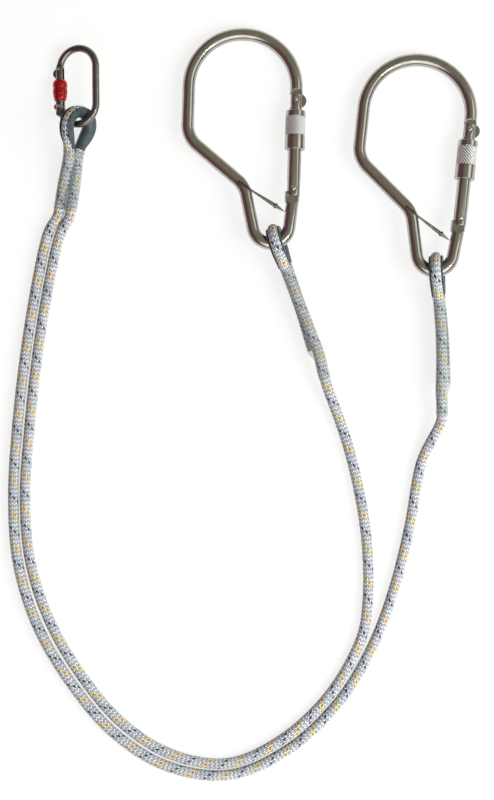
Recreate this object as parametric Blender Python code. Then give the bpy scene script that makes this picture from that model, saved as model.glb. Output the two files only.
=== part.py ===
# A twin-leg rope lanyard with a harness karabiner and two large steel hooks, lying flat.
# Sizes are in millimetres and become metres when a mesh or an empty is made.
# +X is to the right and +Y away from the viewer, +Z up, with the floor at z = 0.

import bpy
import bmesh
import math
from mathutils import Matrix, Vector

MM = 0.001

# Clearances
FIT_GAP = 0.3            # between pieces that touch
FACET_SIDES = 12         # sides of the bars
SLEEVE_SIDES = 24        # sides of the lock sleeves and collars
GATE_SIDES = 16          # sides of the gates and their holes
PIN_SIDES = 14
PLUNGER_SIDES = 12
BEARING_GAP = 0.15       # round each rivet and pin
GATE_CHAMFER = 0.6
GATE_TOP_CHAMFER = 0.8
COLLAR_CHAMFER_HEIGHT = 1.0
COLLAR_CHAMFER_DEPTH = 0.8
RIVET_PROUD = 0.6        # how far a rivet stands out of the gate
RIVET_DOME = 0.5
PIN_PROUD = 0.2
PIN_DOME = 0.3
DOME_SHARE = 0.55        # of the radius, at the end of a rivet or pin
SPRING_ROOM = 0.4        # between a spring and its bore
CAM_OVERTRAVEL = 1.1     # share of the gate's angle that the cam covers

# Rope
ROPE_DIAMETER = 12.0
ROPE_SPREAD = 12.6       # centre distance of two ropes that lie side by side

# Rope eyes and thimbles
CROWN_RADIUS = 16.6      # rope centre round the eye
EYE_CONVERGENCE = 20.0   # degrees that each leg of the eye leans in
EYE_BLEND_RADIUS = 40.0  # where the legs turn parallel
THIMBLE_WALL = 1.2
THIMBLE_TIP_WALL = 0.7
THIMBLE_FLANGE = 2.0     # reach of the flange past the rope centre
THIMBLE_LENGTH = 26.0    # from the crown centre to the tips

# Clear splice sleeves
SLEEVE_ROOM = 1.0        # between rope and sleeve
SLEEVE_WALL = 0.6
SLEEVE_START = 27.2      # from the crown centre
HARNESS_SLEEVE_LENGTH = 65.0
HOOK_SLEEVE_LENGTH = 129.0
HOOK_TAIL_LENGTH = 96.0  # rope tail inside a hook's sleeve
TAIL_NECK = 14.0         # length over which the sleeve narrows past the tail
STITCH_DIAMETER = 0.9
STITCH_PITCH = 6.0
STITCH_REACH = 2.6       # sideways reach of the zigzag
STITCH_INSET = 12.0      # from the sleeve's start to the first stitch
HARNESS_STITCH_LENGTH = 52.0
HOOK_STITCH_LENGTH = 63.0

# Large hooks
HOOK_BAR = 14.0
HOOK_HEAD_RADIUS = 59.0
HOOK_NECK_HEIGHT = 53.5
HOOK_EYE_CORNER = (-54.0, 1.7)
HOOK_CORNER_RADIUS = 30.0
HOOK_BOW_POINT = (-14.9, -166.0)   # where the eye's two sides would meet
HOOK_BOW_RADIUS = 20.0
HOOK_PIN_HEIGHT = 98.5       # nose pin above the hinge
HOOK_NOSE_END = 110.5        # bar end, level with the head's centre
HOOK_GATE_DIAMETER = 15.0
HOOK_GATE_TOP_DIAMETER = 13.6
HOOK_GATE_TOP = 104.3
HOOK_GATE_HEEL = 8.5
HOOK_TONGUE = 5.0
HOOK_CAM_RADIUS = 6.0
HOOK_RIVET = 4.0
HOOK_PIN = 4.0
HOOK_EAR_RADIUS = 7.8
HOOK_EAR_CENTRE = (3.5, 97.0)
HOOK_TAB_DROP = 2.2
HOOK_TAB_REACH = 4.9         # outer side of the tab that the lock sleeve goes round
HOOK_COLLAR_HEIGHT = 5.1
HOOK_COLLAR_RADIUS = 8.1
HOOK_COLLAR_SHIFT = 1.5
HOOK_LIP_HEIGHT = 5.3
HOOK_GATE_ANGLE = 45.0
HOOK_CAM_LIFT = 2.0
HOOK_LOCK_DIAMETER = 22.0
HOOK_LOCK_LENGTH = 47.0
HOOK_LOCK_BACKED_OFF = 3.0   # how far the lock sleeve stands below the ear
HOOK_KNURL = (19.7, 40.1)    # above the lock sleeve's lower end
HOOK_SPRING = 6.8
HOOK_SPRING_WIRE = 0.9
HOOK_SPRING_LENGTH = 26.0

# Captive bar across each hook's small eye
CAPTIVE_THIN = 2.4
CAPTIVE_THICK = 5.0
CAPTIVE_COLLAR = 6.2
CAPTIVE_ANCHOR = (-60.6, 4.8)
CAPTIVE_END_HEIGHT = -25.3
CAPTIVE_HEIGHT = 4.6         # of its thin end above the hook's middle plane
CAPTIVE_PEG = 7.5            # turned-down end in the hook's body

# Harness karabiner, an oval with a screw sleeve
OVAL_BAR = 8.0
OVAL_RADIUS = 21.8
OVAL_STRAIGHT = 40.2
OVAL_ARC_RISE = 0.4          # lower arc centre above the hinge
OVAL_ARC_STEPS = 13          # odd, so that the crown has a flat facet
OVAL_PIN_HEIGHT = 41.0
OVAL_GATE_DIAMETER = 10.0
OVAL_GATE_TOP_DIAMETER = 9.4
OVAL_GATE_TOP = 43.9
OVAL_GATE_HEEL = 5.6
OVAL_TONGUE = 3.2
OVAL_CAM_RADIUS = 3.9
OVAL_RIVET = 3.0
OVAL_PIN = 2.6
OVAL_EAR_RADIUS = 5.5
OVAL_EAR_CENTRE = (2.4, 36.6)
OVAL_TAB_DROP = 1.3
OVAL_TAB_REACH = 3.3
OVAL_COLLAR_HEIGHT = 2.6
OVAL_COLLAR_RADIUS = 5.6
OVAL_COLLAR_SHIFT = 1.0
OVAL_LIP_HEIGHT = 3.4
OVAL_GATE_ANGLE = 30.0
OVAL_CAM_LIFT = 0.9
OVAL_LOCK_DIAMETER = 16.0
OVAL_LOCK_LENGTH = 23.0
OVAL_LOCK_BACKED_OFF = 2.0
OVAL_HINGE_EAR = 3.5
OVAL_SPRING = 4.0
OVAL_SPRING_WIRE = 0.6
OVAL_SPRING_LENGTH = 13.0

# Where the pieces lie, in millimetres
DATUM_SHIFT = (-2.2, 0.1)     # brings the middle of the hardware to the origin
LEFT_HOOK_HINGE = (32.2, 35.2)
LEFT_HOOK_LEAN = 1.73        # degrees clockwise, seen from above
LEFT_HOOK_PULL = 20.0        # heading of its splice, degrees to the right of straight down
RIGHT_HOOK_HINGE = (214.3, 2.9)
RIGHT_HOOK_LEAN = 6.44
RIGHT_HOOK_PULL = 6.0
OVAL_HINGE = (-223.6, 126.2)
OVAL_LEAN = -0.9
OVAL_TILT = 22.0             # its closed side stands up by this
OVAL_SEAT = 2.8              # bar to thimble at the crown
HARNESS_PULL = -9.5
HARNESS_TILT = 49.5          # of the eye's plane, about its own length
HOOK_THIMBLE_TILT = 80.0
LEFT_TAIL_TILT = 115.0
RIGHT_TAIL_TILT = 65.0
HOOK_PULL_SLOPE = 14.0       # degrees that the hook eyes slope down to their splices
HARNESS_PULL_SLOPE = 7.0
LEVEL_LENGTH = 52.0          # from the crown centre to where a splice lies level
TAIL_SLOPE = 9.0             # degrees that a leg leaves its hook splice
TAIL_END_HEIGHT = 15.5       # of the rope as it leaves a hook splice
LEFT_TAIL_PULL = 18.5
RIGHT_TAIL_PULL = -3.0
FLOOR_GAP = 0.02
SPLICE_LIFT = 0.25           # a sloping sleeve's corners stay above the floor

# The two legs side by side: centre line and half distance, from the harness on
PAIR_ROUTE = [
    (-232.6, -18.8, 6.5),
    (-247.0, -89.2, 6.5),
    (-257.6, -160.4, 6.6),
    (-265.1, -231.5, 6.7),
    (-269.2, -302.8, 6.4),
    (-263.9, -373.0, 6.8),
    (-243.0, -440.0, 7.2),
    (-207.4, -501.5, 7.0),
    (-162.0, -555.0, 7.0),
    (-105.1, -591.5, 6.8),
    (-38.2, -601.5, 6.4),
    (24.4, -573.6, 6.4),
    (76.2, -525.0, 6.4),
    (111.2, -466.6, 7.2),
]
# Each leg after the fork, to its hook
LEFT_LEG_ROUTE = [
    (114.0, -417.0),
    (113.5, -358.0),
    (105.4, -300.0),
    (90.6, -240.0),
]
RIGHT_LEG_ROUTE = [
    (141.5, -408.0),
    (159.8, -336.0),
    (172.6, -266.0),
]

ROPE_RADIUS = ROPE_DIAMETER / 2
CHANNEL_RADIUS = ROPE_RADIUS + FIT_GAP
SLEEVE_RADIUS = ROPE_RADIUS + SLEEVE_ROOM
SPLICE_HEIGHT = SLEEVE_RADIUS + SLEEVE_WALL + SPLICE_LIFT
EYE_CLEAR_RADIUS = CROWN_RADIUS - CHANNEL_RADIUS / math.cos(math.radians(15)) - THIMBLE_WALL
OVAL_NOSE_END = OVAL_STRAIGHT + OVAL_ARC_RISE + OVAL_RADIUS * math.sin(math.pi / OVAL_ARC_STEPS)


# Mesh helpers

def clear_scene():
    for obj in list(bpy.data.objects):
        bpy.data.objects.remove(obj, do_unlink=True)


def material(name, colour, metallic, roughness, alpha=1.0):
    mat = bpy.data.materials.new(name)
    mat.use_nodes = True
    shader = mat.node_tree.nodes["Principled BSDF"]
    shader.inputs["Base Color"].default_value = (*colour, 1.0)
    shader.inputs["Metallic"].default_value = metallic
    shader.inputs["Roughness"].default_value = roughness
    shader.inputs["Alpha"].default_value = alpha
    return mat


def add_object(name, data, mat, parent=None):
    obj = bpy.data.objects.new(name, data)
    bpy.context.scene.collection.objects.link(obj)
    data.materials.append(mat)
    obj.parent = parent
    return obj


def add_empty(name, matrix, parent=None):
    empty = bpy.data.objects.new(name, None)
    empty.empty_display_size = 0.01
    bpy.context.scene.collection.objects.link(empty)
    empty.parent = parent
    empty.matrix_local = matrix
    return empty


def finish_mesh(name, bm, mat, parent=None):
    bmesh.ops.recalc_face_normals(bm, faces=bm.faces)
    bmesh.ops.scale(bm, vec=(MM, MM, MM), verts=bm.verts)
    mesh = bpy.data.meshes.new(name)
    bm.to_mesh(mesh)
    bm.free()
    mesh.shade_smooth()
    mesh.set_sharp_from_angle(angle=math.radians(35))
    return add_object(name, mesh, mat, parent)


def skin(bm, rings, closed=False):
    """Joins equal rings of points with faces and returns their vertices."""
    loops = [[bm.verts.new(point) for point in ring] for ring in rings]
    pairs = list(zip(loops, loops[1:]))
    if closed:
        pairs.append((loops[-1], loops[0]))
    for first, second in pairs:
        for i, vert in enumerate(first):
            j = (i + 1) % len(first)
            bm.faces.new((vert, first[j], second[j], second[i]))
    return loops


def swept_solid(name, rings, mat, parent=None):
    bm = bmesh.new()
    loops = skin(bm, rings)
    bm.faces.new(loops[0][::-1])
    bm.faces.new(loops[-1])
    return finish_mesh(name, bm, mat, parent)


def swept_tube(name, outer, inner, mat, parent=None):
    bm = bmesh.new()
    outside = skin(bm, outer)
    inside = skin(bm, inner)
    for a, b in ((outside[0], inside[0]), (outside[-1], inside[-1])):
        for i, vert in enumerate(a):
            j = (i + 1) % len(a)
            bm.faces.new((vert, a[j], b[j], b[i]))
    return finish_mesh(name, bm, mat, parent)


def turned(name, profile, sides, mat, parent=None, bored=False):
    """Turns (height, radius) points about the local Y axis; a bored profile is a closed loop."""
    bm = bmesh.new()
    rings = []
    for height, radius in profile:
        ring = []
        for k in range(sides):
            angle = 2 * math.pi * (k + 0.5) / sides
            ring.append(Vector((radius * math.cos(angle), height, radius * math.sin(angle))))
        rings.append(ring)
    loops = skin(bm, rings, closed=bored)
    if not bored:
        bm.faces.new(loops[0][::-1])
        bm.faces.new(loops[-1])
    return finish_mesh(name, bm, mat, parent)


def plate(name, outline, thickness, mat, parent=None, middle=0.0):
    """Extrudes an outline in the local XY plane to both sides of a middle height."""
    bm = bmesh.new()
    low = middle - thickness / 2
    face = bm.faces.new([bm.verts.new((x, y, low)) for x, y in outline])
    lifted = bmesh.ops.extrude_face_region(bm, geom=[face])["geom"]
    verts = [item for item in lifted if isinstance(item, bmesh.types.BMVert)]
    bmesh.ops.translate(bm, verts=verts, vec=(0, 0, thickness))
    return finish_mesh(name, bm, mat, parent)


def round_bar(name, start, end, radius, sides, mat, parent=None, dome=0.0):
    """A straight round bar, with a small dome on each end where one is given."""
    start, end = Vector(start), Vector(end)
    axis = (end - start).normalized()
    side = axis.orthogonal().normalized()
    stations = [(start, radius), (end, radius)]
    if dome:
        stations = [
            (start, radius * DOME_SHARE),
            (start + axis * dome, radius),
            (end - axis * dome, radius),
            (end, radius * DOME_SHARE),
        ]
    rings = [circle(point, side, axis.cross(side), size, sides) for point, size in stations]
    return swept_solid(name, rings, mat, parent)


def circle(centre, across, up, radius, sides, turn=0.5):
    ring = []
    for k in range(sides):
        angle = 2 * math.pi * (k + turn) / sides
        ring.append(centre + radius * (math.cos(angle) * across + math.sin(angle) * up))
    return ring


def carve(obj, tool, operation="DIFFERENCE"):
    """Cuts a tool from an object, or joins it on, and hides the tool."""
    modifier = obj.modifiers.new(tool.name, "BOOLEAN")
    modifier.operation = operation
    modifier.solver = "EXACT"
    modifier.object = tool
    tool.hide_render = True
    tool.display_type = "WIRE"


def cord(name, points, radius, mat, resolution):
    """A rope as a curve through points, with filled ends."""
    curve = bpy.data.curves.new(name, "CURVE")
    curve.dimensions = "3D"
    curve.bevel_depth = radius * MM
    curve.bevel_resolution = resolution
    curve.use_fill_caps = True
    spline = curve.splines.new("POLY")
    spline.points.add(len(points) - 1)
    for item, point in zip(spline.points, points):
        item.co = (*(Vector(point) * MM), 1.0)
    spline.use_smooth = True
    return add_object(name, curve, mat)


def arc_points(centre, radius, start, end, count):
    """Points on an arc, angles in degrees."""
    points = []
    for k in range(count + 1):
        angle = math.radians(start + (end - start) * k / count)
        points.append((centre[0] + radius * math.cos(angle), centre[1] + radius * math.sin(angle)))
    return points


def fillet(before, corner, after, radius, count):
    """Points round a corner, from one straight side to the next."""
    corner = Vector(corner)
    back = (Vector(before) - corner).normalized()
    onward = (Vector(after) - corner).normalized()
    half = back.angle(onward) / 2
    reach = radius / math.tan(half)
    centre = corner + (back + onward).normalized() * radius / math.sin(half)
    first = corner + back * reach - centre
    last = corner + onward * reach - centre
    turn = first.angle_signed(last)
    points = []
    for k in range(count + 1):
        angle = -turn * k / count
        points.append(tuple(centre + Matrix.Rotation(angle, 2) @ first))
    return points


def ease(value):
    value = min(max(value, 0.0), 1.0)
    return value * value * (3 - 2 * value)


def smooth_route(points, before, after, samples):
    """Points of a smooth curve through the route, with a straight run in and out."""
    knots = [Vector(before)] + [Vector(p) for p in points] + [Vector(after)]
    result = []
    for i in range(1, len(knots) - 2):
        a, b, c, d = knots[i - 1:i + 3]
        for k in range(samples):
            t = k / samples
            result.append(0.5 * (
                2 * b + (c - a) * t + (2 * a - 5 * b + 4 * c - d) * t ** 2
                + (3 * b - 3 * c + d - a) * t ** 3
            ))
    result.append(knots[-2])
    return result


def blend_points(start, start_slope, end, end_slope, count):
    """Points of one smooth curve between two points with given directions."""
    points = []
    for k in range(count + 1):
        t = k / count
        points.append(
            start * (2 * t ** 3 - 3 * t ** 2 + 1) + start_slope * (t ** 3 - 2 * t ** 2 + t)
            + end * (3 * t ** 2 - 2 * t ** 3) + end_slope * (t ** 3 - t ** 2)
        )
    return points


# Rope eyes, thimbles and splices

class Eye:
    """A rope eye and its splice, with a frame for each length from the crown centre."""

    def __init__(self, crown, pull, slope, tilt, end_tilt, end_pull, length):
        self.crown = Vector(crown)
        self.pull = pull
        self.slope = math.radians(slope)
        self.tilt = tilt
        self.end_tilt = end_tilt
        self.end_pull = end_pull
        self.length = length
        self.flat = THIMBLE_LENGTH + FIT_GAP

    def heading(self, length):
        share = ease((length - self.flat) / (self.length - self.flat))
        return math.radians(self.pull + (self.end_pull - self.pull) * share)

    def turn(self, length):
        share = ease((length - self.flat) / (self.length - self.flat))
        return math.radians(self.tilt + (self.end_tilt - self.tilt) * share)

    def level(self, length):
        return SPLICE_HEIGHT + ROPE_SPREAD / 2 * math.sin(self.turn(length))

    def height(self, length):
        if length <= self.flat:
            return self.crown.z - length * math.sin(self.slope)
        if length >= LEVEL_LENGTH:
            return self.level(length)
        span = LEVEL_LENGTH - self.flat
        t = (length - self.flat) / span
        start = self.crown.z - self.flat * math.sin(self.slope)
        return (
            start * (2 * t ** 3 - 3 * t ** 2 + 1)
            - math.tan(self.slope) * span * (t ** 3 - 2 * t ** 2 + t)
            + self.level(LEVEL_LENGTH) * (3 * t ** 2 - 2 * t ** 3)
        )

    def centre(self, length):
        """The splice's centre line, stepped along its heading."""
        heading = self.heading(min(length, self.flat))
        reach = min(length, self.flat) * math.cos(self.slope)
        x = self.crown.x + reach * math.sin(heading)
        y = self.crown.y - reach * math.cos(heading)
        steps = max(0, math.ceil(length - self.flat))
        for k in range(steps):
            step = (length - self.flat) / steps
            heading = self.heading(self.flat + (k + 0.5) * step)
            x += step * math.sin(heading)
            y -= step * math.cos(heading)
        return Vector((x, y, self.height(length)))

    def frame(self, length):
        """Centre, direction, side (lower rope) and normal (seen from above)."""
        if length <= self.flat:
            heading = math.radians(self.pull)
            flat = math.cos(self.slope)
            along = Vector((math.sin(heading) * flat, -math.cos(heading) * flat, -math.sin(self.slope)))
        else:
            along = (self.centre(length + 0.5) - self.centre(length - 0.5)).normalized()
        right = Vector((0, 0, 1)).cross(along).normalized()
        up = along.cross(right)
        turn = self.turn(length)
        side = math.cos(turn) * right - math.sin(turn) * up
        normal = math.sin(turn) * right + math.cos(turn) * up
        return self.centre(length), along, side, normal

    def point(self, side, length):
        centre, _, across, _ = self.frame(length)
        return centre + side * across

    def at_side(self, sign, length):
        """Centre of the rope on one side of the splice."""
        return self.point(sign * ROPE_SPREAD / 2, length)


def loop_outline():
    """Rope centre round the eye as (side, length) points, from one parallel run to the other."""
    lean = math.radians(EYE_CONVERGENCE)
    half = ROPE_SPREAD / 2
    meet = CROWN_RADIUS * math.sin(lean) + (CROWN_RADIUS * math.cos(lean) - half) / math.tan(lean)
    blend_end = meet + EYE_BLEND_RADIUS * math.tan(lean / 2)
    tip = lean - math.asin((blend_end - THIMBLE_LENGTH) / EYE_BLEND_RADIUS)
    leg = []
    for turn in (lean, (lean + tip) / 2, tip, 0.0):
        rest = lean - turn
        leg.append((
            half + EYE_BLEND_RADIUS * (1 - math.cos(rest)),
            blend_end - EYE_BLEND_RADIUS * math.sin(rest),
        ))
    start = (CROWN_RADIUS * math.cos(lean), CROWN_RADIUS * math.sin(lean))
    leg.append(((leg[-1][0] + start[0]) / 2, (leg[-1][1] + start[1]) / 2))
    crown = []
    steps = 14
    for k in range(steps + 1):
        angle = lean - (math.pi + 2 * lean) * k / steps
        crown.append((CROWN_RADIUS * math.cos(angle), CROWN_RADIUS * math.sin(angle)))
    other = [(-side, length) for side, length in reversed(leg)]
    return leg + crown + other


def rope_round(eye, near_end, far_end):
    """Rope from one end in the splice, round the eye, to the other end."""
    outline = loop_outline()
    first = outline[0][1]
    points = []
    count = max(1, round((near_end - first) / ROPE_DIAMETER))
    for k in range(count):
        points.append(eye.at_side(1, near_end + (first - near_end) * k / count))
    points += [eye.point(side, length) for side, length in outline]
    count = max(1, round((far_end - first) / ROPE_DIAMETER))
    for k in range(1, count + 1):
        points.append(eye.at_side(-1, first + (far_end - first) * k / count))
    return points


def thimble(name, eye, mat):
    """A U-shaped channel round the inside of the eye."""
    outline = loop_outline()
    stations = [i for i, (side, length) in enumerate(outline) if length <= THIMBLE_LENGTH + 0.01]
    rings = []
    for i in stations:
        side, length = outline[i]
        along = (Vector(outline[i + 1]) - Vector(outline[i - 1])).normalized()
        outward = Vector((-along.y, along.x))
        if outward.dot(Vector((side, length - THIMBLE_LENGTH / 2))) < 0:
            outward = -outward
        forward, across, normal = eye.frame(0)[1:]
        rope = eye.point(side, length)
        out = outward.x * across + outward.y * forward
        share = ease((length - THIMBLE_LENGTH / 3) / (THIMBLE_LENGTH * 2 / 3))
        wall = THIMBLE_WALL + (THIMBLE_TIP_WALL - THIMBLE_WALL) * share
        flange = THIMBLE_FLANGE + (FIT_GAP - THIMBLE_FLANGE) * share
        rings.append(channel_section(rope, out, normal, wall, flange))
    return swept_solid(name, rings, mat)


def channel_section(rope, out, normal, wall, flange):
    segments = 6
    inner_radius = CHANNEL_RADIUS / math.cos(math.pi / segments / 2)
    outer_radius = inner_radius + wall
    ring = []
    for radius, order in ((inner_radius, 1), (outer_radius, -1)):
        arc = [rope + flange * out + order * radius * normal]
        for k in range(segments + 1):
            angle = math.pi / 2 + math.pi * k / segments
            arc.append(rope + radius * (math.cos(angle) * out + order * math.sin(angle) * normal))
        arc.append(rope + flange * out - order * radius * normal)
        ring += arc
    return ring


def sleeve_section(low, high, normal, radius):
    """A stadium round two rope centres."""
    across = (low - high).normalized()
    ring = []
    segments = 5
    for centre, start in ((low, -90), (high, 90)):
        for k in range(segments + 1):
            angle = math.radians(start + 180 * k / segments)
            ring.append(centre + radius * (math.cos(angle) * across + math.sin(angle) * normal))
    return ring


def eye_half(length):
    """Half distance of the ropes where the splice begins."""
    outline = loop_outline()
    leg = sorted((point[1], point[0]) for point in outline[:4])
    for (l0, h0), (l1, h1) in zip(leg, leg[1:]):
        if l0 <= length <= l1:
            return h0 + (h1 - h0) * (length - l0) / (l1 - l0)
    return ROPE_SPREAD / 2


def splice_sleeve(name, eye, mat, tail=None, rope_end=None):
    """A clear sleeve round both ropes, and past a tail's end round the one that goes on."""
    lengths = [SLEEVE_START]
    lengths += [point[1] for point in loop_outline()[:2][::-1]]
    stop = tail if tail else SLEEVE_START + HARNESS_SLEEVE_LENGTH
    count = round((stop - lengths[-1]) / ROPE_DIAMETER)
    first = lengths[-1]
    lengths += [first + (stop - first) * k / count for k in range(1, count + 1)]
    sections = []
    for length in lengths:
        centre, along, across, normal = eye.frame(length)
        half = eye_half(length)
        sections.append((centre + half * across, centre - half * across, normal))
    if tail:
        for point, along, share in neck_stations(eye, tail, rope_end):
            side, upward = eye.frame(tail)[2:]
            across = (side - side.dot(along) * along).normalized()
            normal = across.cross(along)
            if normal.dot(upward) < 0:
                normal = -normal
            spread = max(ROPE_SPREAD * share, 1.0)
            shift = 0.5 * (1 - share)
            sections.append((point + (spread - shift) * across, point - shift * across, normal))
    outer = [sleeve_section(*section, SLEEVE_RADIUS + SLEEVE_WALL) for section in sections]
    inner = [sleeve_section(*section, SLEEVE_RADIUS) for section in sections]
    return swept_tube(name, outer, inner, mat)


def tail_curve(eye, tail):
    """The rope that goes on past the tail's end, down towards the floor."""
    start = eye.at_side(-1, tail)
    end_length = eye.length
    span = end_length - tail
    start_slope = (start - eye.at_side(-1, tail - 1)) * span
    end = eye.centre(end_length)
    end.z = TAIL_END_HEIGHT
    heading = eye.heading(end_length)
    slope = math.radians(TAIL_SLOPE)
    end_slope = Vector((
        math.sin(heading) * math.cos(slope),
        -math.cos(heading) * math.cos(slope),
        -math.sin(slope),
    )) * span
    return blend_points(start, start_slope, end, end_slope, 4)


def neck_stations(eye, tail, points):
    """Where the sleeve narrows past the tail's end: point, direction and share of the tail."""
    stations = []
    for i in range(1, len(points)):
        before = points[i - 1]
        after = points[min(i + 1, len(points) - 1)]
        share = 1 - ease((points[i] - points[0]).length / TAIL_NECK)
        stations.append((points[i], (after - before).normalized(), share))
    return stations


def stitching(name, eye, length, mat):
    """One thread that zigzags over the valley between the two ropes."""
    thread = STITCH_DIAMETER / 2
    rise = math.sqrt(ROPE_RADIUS ** 2 - (ROPE_SPREAD / 2 - STITCH_REACH) ** 2)
    height = rise + thread + FIT_GAP * 1.2
    points = []
    count = round(length / STITCH_PITCH)
    for k in range(count + 1):
        centre, along, across, normal = eye.frame(SLEEVE_START + STITCH_INSET + k * STITCH_PITCH)
        sign = 1 if k % 2 else -1
        points.append(centre + sign * STITCH_REACH * across + height * normal)
    return cord(name, points, thread, mat, 1)


def harness_splice(eye, mats):
    end = SLEEVE_START + HARNESS_SLEEVE_LENGTH
    cord("harness_eye_rope", rope_round(eye, end, end), ROPE_RADIUS, mats["rope"], 3)
    thimble("harness_thimble", eye, mats["thimble"])
    splice_sleeve("harness_splice_sleeve", eye, mats["clear"])
    stitching("harness_stitching", eye, HARNESS_STITCH_LENGTH, mats["thread"])


def hook_splice(side, eye, mats):
    tail = SLEEVE_START + HOOK_TAIL_LENGTH
    goes_on = tail_curve(eye, tail)
    points = rope_round(eye, tail - FIT_GAP, tail) + goes_on[1:]
    cord(side + "_eye_rope", points, ROPE_RADIUS, mats["rope"], 3)
    thimble(side + "_thimble", eye, mats["thimble"])
    splice_sleeve(side + "_splice_sleeve", eye, mats["clear"], tail, goes_on)
    stitching(side + "_stitching", eye, HOOK_STITCH_LENGTH, mats["thread"])
    return goes_on


def legs(harness, left_end, right_end, mats):
    """The free rope from the harness splice to each hook's splice."""
    start_length = harness.length
    for name, sign, own_route, hook_end in (
        ("left_leg_rope", 1, LEFT_LEG_ROUTE, left_end),
        ("right_leg_rope", -1, RIGHT_LEG_ROUTE, right_end),
    ):
        start = harness.at_side(sign, start_length)
        along = (start - harness.at_side(sign, start_length - ROPE_DIAMETER)).normalized()
        start += along * FIT_GAP
        arrival = (hook_end[-1] - hook_end[-2]).normalized()
        end = hook_end[-1] + arrival * FIT_GAP
        floor = ROPE_RADIUS + FLOOR_GAP
        route = [start]
        for i, (x, y, half) in enumerate(PAIR_ROUTE):
            before = Vector(PAIR_ROUTE[max(i - 1, 0)][:2])
            after = Vector(PAIR_ROUTE[min(i + 1, len(PAIR_ROUTE) - 1)][:2])
            run = (after - before).normalized()
            left = Vector((-run.y, run.x))
            route.append(Vector((x + sign * half * left.x, y + sign * half * left.y, floor)))
        route += [Vector((x, y, floor)) for x, y in own_route]
        route.append(end)
        lead = ROPE_RADIUS
        route[0] = start + along * lead
        route[-1] = end + arrival * lead
        reach = (route[1] - route[0]).length
        before = route[0] - along * reach
        after = route[-1] - arrival * reach
        points = [start] + smooth_route(route, before, after, 2) + [end]
        for point in points:
            point.z = max(point.z, floor)
        cord(name, points, ROPE_RADIUS, mats["rope"], 2)


# Connectors: shared pieces, in a frame with its origin on the gate's hinge, +Y to the nose
# and +Z towards the viewer. The body lies on the -X side and the gate opens that way.

def bar_rings(path, radius):
    """Rings round a path in the XY plane, each with a flat side towards the inside."""
    rings = []
    for i, (x, y) in enumerate(path):
        before = Vector(path[max(i - 1, 0)])
        after = Vector(path[min(i + 1, len(path) - 1)])
        along = (after - before).normalized()
        inward = Vector((along.y, -along.x, 0))
        rings.append(circle(Vector((x, y, 0)), inward, Vector((0, 0, 1)), radius, FACET_SIDES))
    return rings


def box_tool(name, low, high, mat, parent):
    bm = bmesh.new()
    bmesh.ops.create_cube(bm, size=1.0)
    size = [b - a for a, b in zip(low, high)]
    middle = [(a + b) / 2 for a, b in zip(low, high)]
    bmesh.ops.scale(bm, vec=size, verts=bm.verts)
    bmesh.ops.translate(bm, vec=middle, verts=bm.verts)
    return finish_mesh(name, bm, mat, parent)


def cam_lift_radius(spec):
    """Largest radius of the hinge tongue's cam."""
    return spec["cam"] + spec["lift"] * CAM_OVERTRAVEL


def tongue_outline(spec):
    """Hinge tongue: a round heel whose radius grows on the inner side, to push the plunger."""
    cam = spec["cam"]
    foot = -(spec["heel"] + FIT_GAP + spec["collar_height"] / 2)
    outline = [(-cam * 0.9, foot), (cam * 0.9, foot)]
    if spec["hinge_ear"]:
        outline += arc_points((cam - 0.2, 0), spec["hinge_ear"], -90, 45, 6)
        outline += arc_points((0, 0), cam, 60, 84, 2)
    else:
        outline += arc_points((0, 0), cam, -10, 84, 6)
    reach = spec["gate_angle"] * CAM_OVERTRAVEL
    for k in range(9):
        turn = reach * k / 8
        radius = cam + spec["lift"] * turn / spec["gate_angle"]
        angle = math.radians(90 + turn)
        outline.append((radius * math.cos(angle), radius * math.sin(angle)))
    outline.append((-cam, 0))
    return outline


def claw_outline(spec):
    """Nose plate: a notch for the gate's pin, a tab for the lock sleeve and an outer ear."""
    half = spec["bar"] * 0.39
    pin = spec["pin_height"]
    notch = spec["pin"] / 2 + FIT_GAP
    centre_x, centre_y = spec["ear_centre"]
    ear = spec["ear"]
    bottom = centre_y - ear
    jaw = spec["bar"] * 0.28
    tab_in = spec["gate_top_diameter"] * 0.15
    tab_out = spec["tab_reach"]
    outline = [(half, spec["nose_end"] + spec["bar"] * 0.15)]
    outline.append((-half, spec["nose_end"] + spec["bar"] * 0.15))
    outline.append((-half, pin + notch))
    outline += arc_points((0, pin), notch, 90, -90, 8)
    outline.append((-jaw, pin - notch))
    outline.append((-jaw, bottom + jaw))
    outline.append((-jaw / 2, bottom))
    outline.append((tab_in, bottom))
    outline.append((tab_in, bottom - spec["tab_drop"]))
    outline.append((tab_out, bottom - spec["tab_drop"]))
    first = -math.degrees(math.acos((tab_out - centre_x) / ear))
    outline += arc_points((centre_x, centre_y), ear, first, 65, 10)
    return outline


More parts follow.
